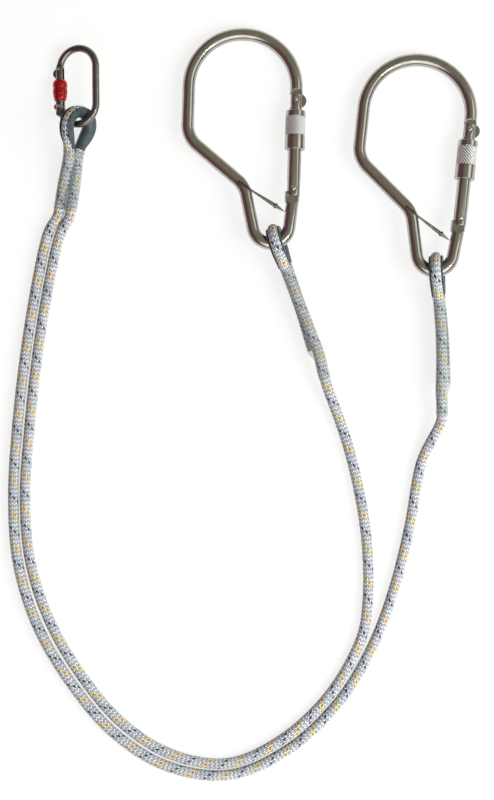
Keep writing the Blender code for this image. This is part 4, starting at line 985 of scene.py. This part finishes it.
def buildSewing(name, node, eye, length, material):
    radius = sewing['thread']
    fromMiddle = eyeSizes['spread'] / 2 - sewing['reach']
    level = math.sqrt(eyeSizes['ropeRadius'] ** 2 - fromMiddle ** 2) + radius + sewing['rise']
    first = eyeSizes['sleeveStart'] + sewing['inset']
    count = round(length / sewing['stitch'])
    knots = []
    for face, order in ((1, 1), (-1, -1)):
        for k in range(count + 1)[::order]:
            centre, along, across, normal = eyeFrame(eye, first + k * sewing['stitch'])
            side = (1 if k % 2 else -1) * sewing['reach']
            top = centre + side * across + face * level * normal
            deep = centre + side * sewing['flare'] * across + face * (level - sewing['dive']) * normal
            below, above = sewing['slant']
            knots += [top, deep, deep + along * below, top + along * above]
    points = evenSteps(knots, sewing['ringStep'])
    sides, ups = sweepFrames(points)
    travel = 2 * math.pi * np.arange(len(points)) * sewing['ringStep'] / sewing['plyPitch']
    twist = np.cos(sewing['plies'] * (anglesRound(sewing['sides'])[None, :] - travel[:, None]))
    sizes = radius * (1 - sewing['plyDepth'] * (1 - twist))
    obj = tubeObject(name, ringsAlong(points, sides, ups, sizes))
    dress(obj, material, 'rope_and_splices', node)


def buildSplices():
    nylon, film, thread = (
        surface(name, **group[name])
        for name, group in (('mouldedNylon', thimble), ('shrunkTube', sleeve), ('bondedThread', sewing))
    )
    for side, eye, tail, sewn in (
        ('harness', harnessEye, None, 52.0),
        ('left', leftEye, hookTailLength, 63.0),
        ('right', rightEye, hookTailLength, 63.0),
    ):
        buildThimble(side + 'Thimble', side + '_thimble', eye, nylon)
        buildSleeve(side + 'ClearSleeve', side + '_splice_sleeve', eye, film, tail)
        buildSewing(side + 'Sewing', side + '_stitching', eye, sewn, thread)


buildSplices()
print('eyes and splices done')


# connectors: shared shapes, in a frame with its origin on the gate's hinge

fine = {
    'barSides': 48,
    'turnedSides': 72,
    'edge': 0.28,            # rounding of a gate's cut edges
    'plateEdge': 0.3,
    'recess': 1.0,           # rivet heads sit in a recess this much wider than the rivet
    'recessDepth': 1.1,
    'holeGap': 0.15,         # between a pin and its hole
    'wall': 20.0,            # reach of the cutters
    'rim': 0.56,             # where a milled face's wall ends, in bar widths from the middle
    'wallSlope': 0.2,
    'overrun': 1.1,          # how far the cam goes on, as a share of the gate's full turn
    'rivetHead': 0.6,        # how much further out than its shank a head reaches
    'pinHead': 0.4,
    'pinSunk': 0.2,          # how much deeper a nose pin's heads sit than a rivet's
    'headSunk': 0.75,        # from the gate's surface down to a head's edge
    'headSlope': 0.15,       # from a head's edge to its shank
    'headRise': 0.95,        # from a head's edge to the top of its dome
    'leadIn': (0.5, 0.35),   # length and width of the bevel in a lock sleeve's bore
}


def barRings(path, radius):
    points = np.pad(np.array(path, float), ((0, 0), (0, 1)))
    ups = np.tile((0.0, 0.0, 1.0), (len(path), 1))
    sides = np.cross(directions(points), ups)
    return ringsAlong(points, sides, ups, np.full((len(path), fine['barSides']), radius))


def turned(height, radius, angle):
    # a ring about the local Y axis
    return np.stack([radius * np.cos(angle), np.full(len(angle), height), radius * np.sin(angle)], axis=1)


def lathe(name, profile, sides=fine['turnedSides'], matrix=None):
    # turns (height, radius) points about the local Y axis
    angle = anglesRound(sides, 0.5)
    return tubeObject(name, [turned(height, radius, angle) for height, radius in profile], matrix=matrix)


def eased(corners, steps=4):
    # (height, radius, rounding) corners with an arc in place of each rounded one
    points = []
    for i, (height, radius, rounding) in enumerate(corners):
        if rounding:
            points += fillet(corners[i - 1][:2], (height, radius), corners[i + 1][:2], rounding, steps)
        else:
            points.append((height, radius))
    return points


def crosswise(height):
    # puts a turned piece across the connector's plane, at a height
    return Matrix.Translation((0, height, 0)) @ Matrix.Rotation(math.pi / 2, 4, 'X')


def block(low, high):
    rings = [
        [(low[0], y, low[2]), (high[0], y, low[2]), (high[0], y, high[2]), (low[0], y, high[2])]
        for y in (low[1], high[1])
    ]
    return tubeObject('block', rings)


def inset(outline, distance):
    points = [Vector(point) for point in outline]
    area = sum(a.cross(b) for a, b in zip(points, points[1:] + points[:1]))
    sense = 1 if area > 0 else -1
    result = []
    for i, point in enumerate(points):
        before = (point - points[i - 1]).normalized()
        after = (points[(i + 1) % len(points)] - point).normalized()
        edge = Vector((-before.y, before.x)) * sense
        inward = (edge + Vector((-after.y, after.x)) * sense).normalized()
        result.append(tuple(point + inward * distance / max(0.5, inward.dot(edge))))
    return result


def plate(name, outline, thickness, middle=0.0, edge=0.0):
    rings = []
    levels = [(-1, edge), (-1, 0.0), (1, 0.0), (1, edge)] if edge else [(-1, 0.0), (1, 0.0)]
    for i, (side, cut) in enumerate(levels):
        back = edge if edge and i in (1, 2) else 0.0
        level = middle + side * (thickness / 2 - back)
        rings.append([(x, y, level) for x, y in (inset(outline, cut) if cut else outline)])
    return tubeObject(name, rings)


def shaped(base, steps, edge=0.0, segments=2):
    # cuts and joins in order; a small rounding then catches the light on each cut edge
    for operation, tool in steps:
        change = base.modifiers.new(tool.name, 'BOOLEAN')
        change.operation = operation
        change.solver = 'EXACT'
        change.object = tool
    if edge:
        rounding = base.modifiers.new('rounding', 'BEVEL')
        rounding.width = edge * mm
        rounding.segments = segments
        rounding.limit_method = 'ANGLE'
        rounding.angle_limit = math.radians(38)
    bpy.context.view_layer.update()
    graph = bpy.context.evaluated_depsgraph_get()
    mesh = bpy.data.meshes.new_from_object(base.evaluated_get(graph), depsgraph=graph)
    base.modifiers.clear()
    base.data = mesh
    for operation, tool in steps:
        bpy.data.objects.remove(tool)
    return base


def settle(obj, matrix, body, slotName, node, sharpAngle=32.0):
    # from the connector's own frame to its place in the scene
    metres = matrix.copy()
    metres.translation *= mm
    obj.data.transform(metres)
    obj.data.shade_smooth()
    obj.data.set_sharp_from_angle(angle=math.radians(sharpAngle))
    dress(obj, metals[slotName], body, node)


def camReach(spec):
    return spec['cam'] + spec['lift'] * fine['overrun']


def tongueOutline(spec):
    # round heel with a cam on the inner side, which pushes the plunger as the gate opens
    cam = spec['cam']
    foot = -(spec['heel'] + gap + spec['collarHeight'] / 2)
    outline = [(-cam * 0.9, foot), (cam * 0.9, foot)]
    if spec['hingeEar']:
        outline += arcPoints((cam - 0.2, 0), spec['hingeEar'], -90, 45, 16)
        outline += arcPoints((0, 0), cam, 60, 84, 5)
    else:
        outline += arcPoints((0, 0), cam, -10, 84, 16)
    for k in range(25):
        turn = spec['gateAngle'] * fine['overrun'] * k / 24
        radius = cam + spec['lift'] * turn / spec['gateAngle']
        angle = math.radians(90 + turn)
        outline.append((radius * math.cos(angle), radius * math.sin(angle)))
    return outline + [(-cam, 0)]


def clawOutline(spec):
    # nose plate: a notch for the gate's pin, a tab for the lock sleeve and an outer ear
    half = spec['bar'] * 0.39
    notch = spec['pin'] / 2 + gap
    pin = spec['pinHeight']
    centreX, centreY = spec['earCentre']
    bottom = centreY - spec['ear']
    jaw = spec['bar'] * 0.28
    inner = spec['gateTopWidth'] * 0.15
    outline = [(half, spec['noseEnd'] + spec['bar'] * 0.15), (-half, spec['noseEnd'] + spec['bar'] * 0.15)]
    outline.append((-half, pin + notch))
    outline += arcPoints((0, pin), notch, 90, -90, 20)
    outline += [(-jaw, pin - notch), (-jaw, bottom + jaw), (-jaw / 2, bottom), (inner, bottom)]
    outline += [(inner, bottom - spec['tabDrop']), (spec['tabReach'], bottom - spec['tabDrop'])]
    first = -math.degrees(math.acos((spec['tabReach'] - centreX) / spec['ear']))
    return outline + arcPoints((centreX, centreY), spec['ear'], first, 65, 28)


def millCutter(spec, place, level, side):
    # leaves a flat at a level above or below the plate, inside a steep round wall
    x, y, radius = place
    rim = spec['bar'] * fine['rim']
    wide = radius + fine['wallSlope'] * (rim - level)
    cone = [(-side * reach, size) for reach, size in ((level, radius), (rim, wide), (fine['wall'], wide))]
    across = Matrix.Translation((x, 0, 0)) @ crosswise(y)
    return lathe('millCutter', cone if side < 0 else cone[::-1], 96, across)


def bodySteps(spec):
    # collar, seat, tongue, rivet hole and claw
    top = -(spec['heel'] + gap)
    low = top - spec['collarHeight']
    wide = spec['collar']
    # the collar swells out below the gate and ends in a lip round its heel
    collar = lathe('collar', eased([
        (low - 0.42 * wide, spec['bar'] * 0.485, 0.0), (low - 0.1 * wide, wide * 0.965, wide * 0.12),
        (low + 0.08 * wide, wide, wide * 0.1), (top + spec['lip'], wide, 0.4),
        (top + spec['lip'], wide * 0.5, 0.0),
    ]), matrix=Matrix.Translation((-spec['collarShift'], 0, 0)))
    seat = lathe('seat', [(top, spec['gate'] / 2 + gap), (spec['cam'] * 2, spec['gate'] / 2 + gap)])
    tongue = plate('tongue', tongueOutline(spec), spec['tongue'], edge=fine['plateEdge'])
    size = spec['rivet'] / 2 + fine['holeGap']
    hole = lathe('rivetHole', [(-spec['gate'], size), (spec['gate'], size)], 40, crosswise(0.0))
    steps = [('UNION', collar), ('DIFFERENCE', seat), ('UNION', tongue), ('DIFFERENCE', hole)]
    # milled faces beside the hinge, with sloping ends
    for side in (-1, 1):
        steps.append(('DIFFERENCE', millCutter(spec, spec['hingeArch'], spec['hingeFlat'], side)))
        ends = sorted((side * spec['hingeFlat'], side * fine['wall']))
        steps.append(('DIFFERENCE', block((-wide * 2, spec['hingeArch'][1], ends[0]),
                                          (wide * 2, wide, ends[1]))))
    claw = plate('claw', clawOutline(spec), spec['tongue'], edge=fine['plateEdge'])
    return steps + [('UNION', claw)]


def archSteps(spec):
    # at the nose the bar is milled away above and below the plate, in an arch over the gate's top
    return [('DIFFERENCE', millCutter(spec, spec['noseArch'], spec['tongue'] / 2, side)) for side in (-1, 1)]


def gateShape(name, spec):
    radius, topRadius = spec['gate'] / 2, spec['gateTopWidth'] / 2
    heel, top = spec['heel'], spec['gateTop']
    shoulder = spec['earCentre'][1] - spec['ear']
    gate = lathe(name, eased([
        (-heel, radius * 0.3, 0.0), (-heel, radius, 0.7), (shoulder, radius, 0.3),
        (shoulder + 0.6, topRadius, 0.3), (top, topRadius, 1.1), (top, topRadius * 0.3, 0.0),
    ]))
    side, wide = spec['tongue'] / 2 + gap, spec['gate']
    slotTop = camReach(spec) + gap
    clawLow = shoulder - spec['tabDrop'] - gap
    boreEnd = springStart(spec) + spec['springLength'] + spec['springWire'] / 2 + gap
    bore = spec['spring'] / 2 + 0.4
    cutters = [
        block((-wide, -2 * heel, -side), (wide, slotTop, side)),
        block((-wide, clawLow, -side), (wide, top + heel, side)),
        lathe('bore', [(slotTop - side, bore), (boreEnd, bore)], 40),
    ]
    for height, size, reach in ((0.0, spec['rivet'], radius), (spec['pinHeight'], spec['pin'], topRadius)):
        hole = size / 2 + fine['holeGap']
        cutters.append(lathe('hole', [(-wide, hole), (wide, hole)], 40, crosswise(height)))
        for face in (-1, 1):
            ends = sorted((face * (reach - fine['recessDepth']), face * wide))
            recess = [(end, hole + fine['recess'] * spec['gate'] / hook['gate']) for end in ends]
            cutters.append(lathe('recess', recess, 48, crosswise(height)))
    outline = arcPoints((0, 0), heel, 180, 267, 32)
    outline += [(outline[-1][0], -2 * heel), (-2 * heel, -2 * heel), (-2 * heel, 0)]
    cutters.append(plate('heelRound', outline, 2 * wide))
    steps = [('DIFFERENCE', cutter) for cutter in cutters]
    return shaped(gate, steps, fine['edge'] * spec['gate'] / hook['gate'])


def springStart(spec):
    travel = spec['lift'] * fine['overrun'] + spec['springWire'] / 2 + gap
    return camReach(spec) + 3 * gap + spec['bar'] * 0.14 + travel


def pinShape(name, size, reach, height, head):
    # a pressed rivet: a straight shank with a domed, slightly spread head in each recess
    edge = reach - fine['headSunk']
    dome = [(edge - fine['headSlope'], size / 2), (edge, head)]
    for angle in np.linspace(0.15, 1.45, 8):
        dome.append((edge + fine['headRise'] * math.sin(angle), head * math.cos(angle)))
    profile = [(-level, radius) for level, radius in dome[::-1]] + dome
    return lathe(name, profile, 48, crosswise(height))


def springShape(name, spec):
    turns, perTurn, sides = 5, 40, 14
    radius, wire = (spec['spring'] - spec['springWire']) / 2, spec['springWire'] / 2
    angle = np.linspace(0, 2 * math.pi * turns, turns * perTurn + 1)
    height = springStart(spec) + spec['springLength'] * angle / angle[-1]
    points = np.stack([radius * np.cos(angle), height, radius * np.sin(angle)], axis=1)
    frames = sweepFrames(points, (1.0, 0.0, 0.0))
    return tubeObject(name, ringsAlong(points, *frames, np.full((len(points), sides), wire)))


def plungerShape(name, spec):
    tip, nose = spec['cam'] + gap, spec['tongue'] * 0.38
    shoulder = camReach(spec) + 3 * gap
    seat = shoulder + spec['bar'] * 0.14
    stem = spec['spring'] / 2 - spec['springWire'] - gap
    return lathe(name, eased([
        (tip, nose * 0.2, 0.0), (tip + nose * 0.3, nose * 0.75, nose * 0.3), (tip + nose * 0.6, nose, 0.1),
        (shoulder, nose, 0.0), (shoulder, spec['spring'] / 2, 0.2), (seat, spec['spring'] / 2, 0.2),
        (seat, stem, 0.0), (seat + spec['bar'] * 0.35, stem, 0.2),
        (seat + spec['bar'] * 0.35, stem * 0.4, 0.0),
    ]), 40)


# screw sleeves

knurl = {
    # coarser than the real knurl, or it wouldn't show
    'ridges': 20, 'columns': 12, 'rowStep': 0.26, 'depth': 0.6, 'crossDepth': 0.14,
    'low': 19.7, 'high': 40.1,   # above the sleeve's lower end
    'base': 10.5,
}
hookLockProfile = {
    'low': [(3.4, -2.4, 0.0), (3.4, -0.7, 0.2), (4.3, 0.2, 0.6), (19.3, 0.12, 0.25), (19.7, -0.28, 0.0)],
    'high': [(40.1, -0.28, 0.0), (40.5, -0.02, 0.2), (45.9, -0.18, 0.5), (47.0, -0.9, 0.0)],
}
ovalLockProfile = [
    (0.0, -2.3), (0.35, -1.9), (1.6, -1.45), (3.2, -0.95), (5.0, -0.5), (5.9, -0.4), (6.3, -0.62),
    (6.7, -0.64), (7.1, -0.42), (7.7, -0.24), (8.8, -0.06), (10.3, 0.0), (11.9, -0.05), (13.0, -0.2),
    (13.6, -0.4), (13.95, -0.62), (14.3, -0.64), (14.65, -0.42), (15.2, -0.22), (16.2, -0.06),
    (17.7, 0.0), (19.2, -0.12), (20.5, -0.45), (21.5, -0.9), (22.3, -1.5), (22.8, -2.1), (23.0, -2.5),
]


def lockTop(spec):
    # the upper end of a lock sleeve, backed off from the nose
    return spec['earCentre'][1] - spec['ear'] - spec['backedOff']


def lockObject(name, spec, outer, low, angle):
    # closes the outer rings, which begin at a height, with a bore that has a small lead-in
    top, bore = lockTop(spec), spec['gate'] / 2 + gap
    depth, wide = fine['leadIn'][0], bore + fine['leadIn'][1]
    inner = ((top, wide), (top - depth, bore), (low + depth, bore), (low, wide))
    return tubeObject(name, outer + [turned(*place, angle) for place in inner], closed=True)


def knurlRings(low, angle):
    # crossed ridges, deeper one way than the other, that fade in at both ends
    rings = []
    rows = round((knurl['high'] - knurl['low']) / knurl['rowStep'])
    for k in range(1, rows):
        height = knurl['low'] + (knurl['high'] - knurl['low']) * k / rows
        rise = height * knurl['ridges'] / knurl['base']
        deep, shallow = (0.5 + 0.5 * np.cos(rise + way * knurl['ridges'] * angle) for way in (-1, 1))
        fade = min(1.0, min(k, rows - k) / 2)
        radius = knurl['base'] + fade * (knurl['depth'] * deep + knurl['crossDepth'] * shallow)
        rings.append(turned(low + height, radius, angle))
    return rings


def hookLock(name, spec):
    angle = anglesRound(knurl['ridges'] * knurl['columns'])
    low, half = lockTop(spec) - spec['lockLength'], spec['lock'] / 2
    below, above = (
        [turned(low + height, half + step, angle) for height, step in eased(hookLockProfile[part])]
        for part in ('low', 'high')
    )
    foot = low + hookLockProfile['low'][0][0]
    obj = lockObject(name, spec, below + knurlRings(low, angle) + above, foot, angle)
    # marks the knurl, whose colour gets a painted highlight, and its valleys, which get painted shade
    points = np.array([vertex.co for vertex in obj.data.vertices]) / mm
    heights, radii = points[:, 1] - low, np.hypot(points[:, 0], points[:, 2])
    cut = (heights > knurl['low']) & (heights < knurl['high']) & (radii > knurl['base'] - 0.1)
    # how deep a point lies in a valley, which sets how much painted shade it gets
    valley = 1 - (radii - knurl['base']) / (knurl['depth'] + knurl['crossDepth'])
    for mark, value in (('knurled', cut), ('valley', cut * np.clip(valley, 0, 1))):
        obj.data.attributes.new(mark, 'FLOAT', 'POINT').data.foreach_set('value', value.astype(float))
    return obj


def ovalLock(name, spec):
    angle = anglesRound(fine['turnedSides'])
    low, half = lockTop(spec) - spec['lockLength'], spec['lock'] / 2
    outer = [turned(low + height, half + step, angle) for height, step in ovalLockProfile]
    return lockObject(name, spec, outer, low, angle)


# the large hooks and the oval, with the thin captive bar across each hook's small eye

captive = {
    'thin': 2.4, 'thick': 5.0, 'collar': 6.2, 'anchor': (-60.6, 4.8), 'endHeight': -25.3,
    'bendSteps': 8, 'ringStep': 0.22,
    'height': 4.6, 'peg': 7.5, 'sides': 24, 'thread': 0.14, 'threadPitch': 0.9,
    # where the thread begins and ends, and how fast it fades, in shares of the bar's length
    'threaded': (0.27, 0.77), 'threadFades': (0.04, 0.02),
}


def hookPath():
    hingeSide = (0.0, -(hook['heel'] + gap) / 2)
    bow, corner = hook['bowPoint'], hook['eyeCorner']
    neck = (-2 * hook['headRadius'], hook['neckHeight'])
    shoulder = (-2 * hook['headRadius'], hook['noseEnd'])
    startY = -(hook['heel'] + gap + hook['collarHeight'] / 2)
    path = [(legX(startY), startY)]
    path += fillet(hingeSide, bow, corner, hook['bowRadius'], 36)
    path += fillet(bow, corner, neck, hook['cornerRadius'], 18)
    path += fillet(corner, neck, shoulder, hook['cornerRadius'], 18)
    path += arcPoints((-hook['headRadius'], hook['noseEnd']), hook['headRadius'], 180, 0, 72)
    return path + [(0.0, hook['noseEnd'] - reach) for reach in hook['intoClaw']]


def ovalPath():
    low = (-oval['radius'], oval['arcRise'])
    high = (-oval['radius'], oval['straight'] + oval['arcRise'])
    foot = oval['heel'] + gap + oval['collarHeight'] / 2
    first = -math.degrees(math.asin((foot + oval['arcRise']) / oval['radius']))
    path = arcPoints(low, oval['radius'], first, -180, 48)
    path += arcPoints(high, oval['radius'], 180, 180 / oval['arcSteps'], 52)
    along = Vector(path[-1]) - Vector(path[-2])
    return path + [tuple(Vector(path[-1]) + along.normalized() * reach) for reach in oval['intoClaw']]


def captiveLine():
    # middle line with its radius, from the peg in the body to the pointed tip
    endX = legX(captive['endHeight']) - hook['bar'] / 2 - 2 * gap
    end = Vector((endX, captive['endHeight'], 0))
    anchor = Vector((*captive['anchor'], captive['height']))
    thin, thick, collar = captive['thin'] / 2, captive['thick'] / 2, captive['collar'] / 2
    along = end - anchor
    line = [(anchor + Vector((0, 0, -captive['peg'])), thin)]
    for k in range(captive['bendSteps'] + 1):
        turn = math.pi / 2 * k / captive['bendSteps']
        bend = along.normalized() * thin * (1 - math.cos(turn))
        line.append((anchor + bend + Vector((0, 0, thin * (math.sin(turn) - 1))), thin))
    # share of the way along the bar, and the radius there
    shape = (
        (0.03, thin), (0.32, thin), (0.55, thin + (thick - thin) * 0.45), (0.74, thick * 0.9),
        (0.772, thick * 0.9), (0.775, thick * 0.8), (0.785, thick * 0.8), (0.79, collar - 0.2),
        (0.795, collar), (0.828, collar), (0.834, collar - 0.2), (0.84, thick * 0.8),
        (0.9, thick * 0.62), (0.97, thin * 0.7), (0.99, thin * 0.5), (1.0, thin * 0.2),
    )
    for (s0, r0), (s1, r1) in zip(shape, shape[1:]):
        steps = max(1, round((s1 - s0) * along.length / captive['ringStep']))
        for k in range(steps):
            line.append((anchor + along * (s0 + (s1 - s0) * k / steps), r0 + (r1 - r0) * k / steps))
    return line + [(end, thin * 0.2)]


def captiveShape(name):
    points, radii = (np.array(part) for part in zip(*captiveLine()))
    across = np.cross((0, 0, 1), points[-1] - points[0])
    across = np.tile(across / np.linalg.norm(across), (len(points), 1))
    ups = np.cross(across, directions(points))
    ups /= np.linalg.norm(ups, axis=1)[:, None]
    straight = captive['bendSteps'] + 1
    travel = np.linalg.norm(points - points[straight], axis=1)
    travel[:straight] = 0.0
    (begins, ends), (fadeIn, fadeOut) = captive['threaded'], captive['threadFades']
    depth = [
        captive['thread'] * ease((share - begins) / fadeIn) * ease((ends - share) / fadeOut)
        for share in travel / travel[-1]
    ]
    phase = 2 * math.pi * travel[:, None] / captive['threadPitch'] + anglesRound(captive['sides'])
    sizes = radii[:, None] - np.array(depth)[:, None] * (0.5 - 0.5 * np.cos(phase))
    return tubeObject(name, ringsAlong(points, across, ups, sizes))


def captiveCuts():
    # a groove and a hole for the bar in the hook's arm
    size = captive['thin'] / 2 + gap
    line = captiveLine()
    along = (line[-1][0] - line[0][0]).to_2d().normalized()
    across = Vector((-along.y, along.x)) * size
    end = Vector(captive['anchor']) + along * hook['bar'] * 1.6
    heading = math.degrees(math.atan2(across.y, across.x))
    outline = [end - across, end + across]
    outline += arcPoints(captive['anchor'], size, heading, heading + 180, 12)
    floor = captive['height'] * 0.45 - captive['thin'] / 2
    grooveShadeAndRelief = plate('grooveShadeAndRelief', outline, hook['bar'], middle=floor + hook['bar'] / 2)
    low = captive['height'] - captive['peg'] - gap
    shift = Matrix.Translation((*captive['anchor'], 0)) @ Matrix.Rotation(math.pi / 2, 4, 'X')
    hole = lathe('pegHole', [(low, size), (floor + captive['thin'], size)], 32, shift)
    return [('DIFFERENCE', grooveShadeAndRelief), ('DIFFERENCE', hole)]


def buildMetals():
    # forged and polished steel mirrors the room softly; the karabiner's steel is darker; turned
    # rivets are brighter; spring wire is drawn; the red sleeve is anodised aluminium
    polish = {'cloud': 11, 'grain': 0.5, 'detail': (4.0, 3.0), 'drawn': 0.06, 'strength': 0.6}
    looks = {
        'polished_steel': ('polishedSteel', ('#bfbcb4', '#b1aea7'), (0.2, 0.26), 0.004, 1.0),
        'dark_steel': ('darkPolishedSteel', ('#9a9592', '#878380'), (0.19, 0.27), 0.004, 1.0),
        'bright_steel': ('turnedSteel', ('#e6e4de', '#d8d6d0'), (0.12, 0.17), 0.003, 1.0),
        'spring_steel': ('drawnSpringWire', ('#b9b7b2', '#a5a39e'), (0.22, 0.3), 0.004, 1.0),
        'red_anodised': ('redAnodised', ('#bd2a30', '#a01f25'), (0.26, 0.32), 0.005, 0.7),
    }
    return {
        slot: surface(name, tones, rough=rough, depth=depth, Metallic=metallic,
                      knurled=slot == 'polished_steel', **polish)
        for slot, (name, tones, rough, depth, metallic) in looks.items()
    }


def addBody(name, side, spec, matrix, line, moreCuts=()):
    body = tubeObject(name + 'Body', barRings(line, spec['bar'] / 2))
    body = shaped(body, archSteps(spec), spec['archEdge'], 1)
    body = shaped(body, [*bodySteps(spec), *moreCuts], spec['edge'])
    settle(body, matrix, side + '_bar', spec['metal'], side + '_body')


def addGateParts(name, side, spec, matrix, lockShape):
    # the gate with its rivet, pin, spring and plunger, and the screw sleeve round it
    radius, topRadius = spec['gate'] / 2, spec['gateTopWidth'] / 2 - fine['pinSunk']
    rivetHead, pinHead = spec['rivet'] / 2 + fine['rivetHead'], spec['pin'] / 2 + fine['pinHead']
    for piece, part, slotName, node in (
        (gateShape(name + 'Gate', spec), 'gate', spec['metal'], 'gate'),
        (pinShape(name + 'HingeRivet', spec['rivet'], radius, 0.0, rivetHead),
         'gate', 'bright_steel', 'hinge_rivet'),
        (pinShape(name + 'NosePin', spec['pin'], topRadius, spec['pinHeight'], pinHead),
         'gate', 'bright_steel', 'nose_pin'),
        (springShape(name + 'GateSpring', spec), 'gate', 'spring_steel', 'gate_spring'),
        (plungerShape(name + 'Plunger', spec), 'plunger', 'bright_steel', 'spring_plunger'),
        (lockShape(name + 'LockSleeve', spec), 'lock', spec['lockMetal'], 'lock_sleeve'),
    ):
        sharpAngle = 40.0 if part == 'lock' else 32.0
        settle(piece, matrix, side + '_' + part, slotName, side + '_' + node, sharpAngle)


def buildConnectors():
    for side, matrix in (('left', leftMatrix), ('right', rightMatrix)):
        name, owner = side + 'Hook', side + '_hook'
        addBody(name, owner, hook, matrix, hookPath(), captiveCuts())
        rod = captiveShape(side + 'CaptiveBar')
        settle(rod, matrix, owner + '_bar', 'dark_steel', owner + '_captive_bar')
        addGateParts(name, owner, hook, matrix, hookLock)
    addBody('karabiner', 'karabiner', oval, ovalMatrix, ovalPath())
    addGateParts('karabiner', 'karabiner', oval, ovalMatrix, ovalLock)


metals = buildMetals()
buildConnectors()
print('connectors done')
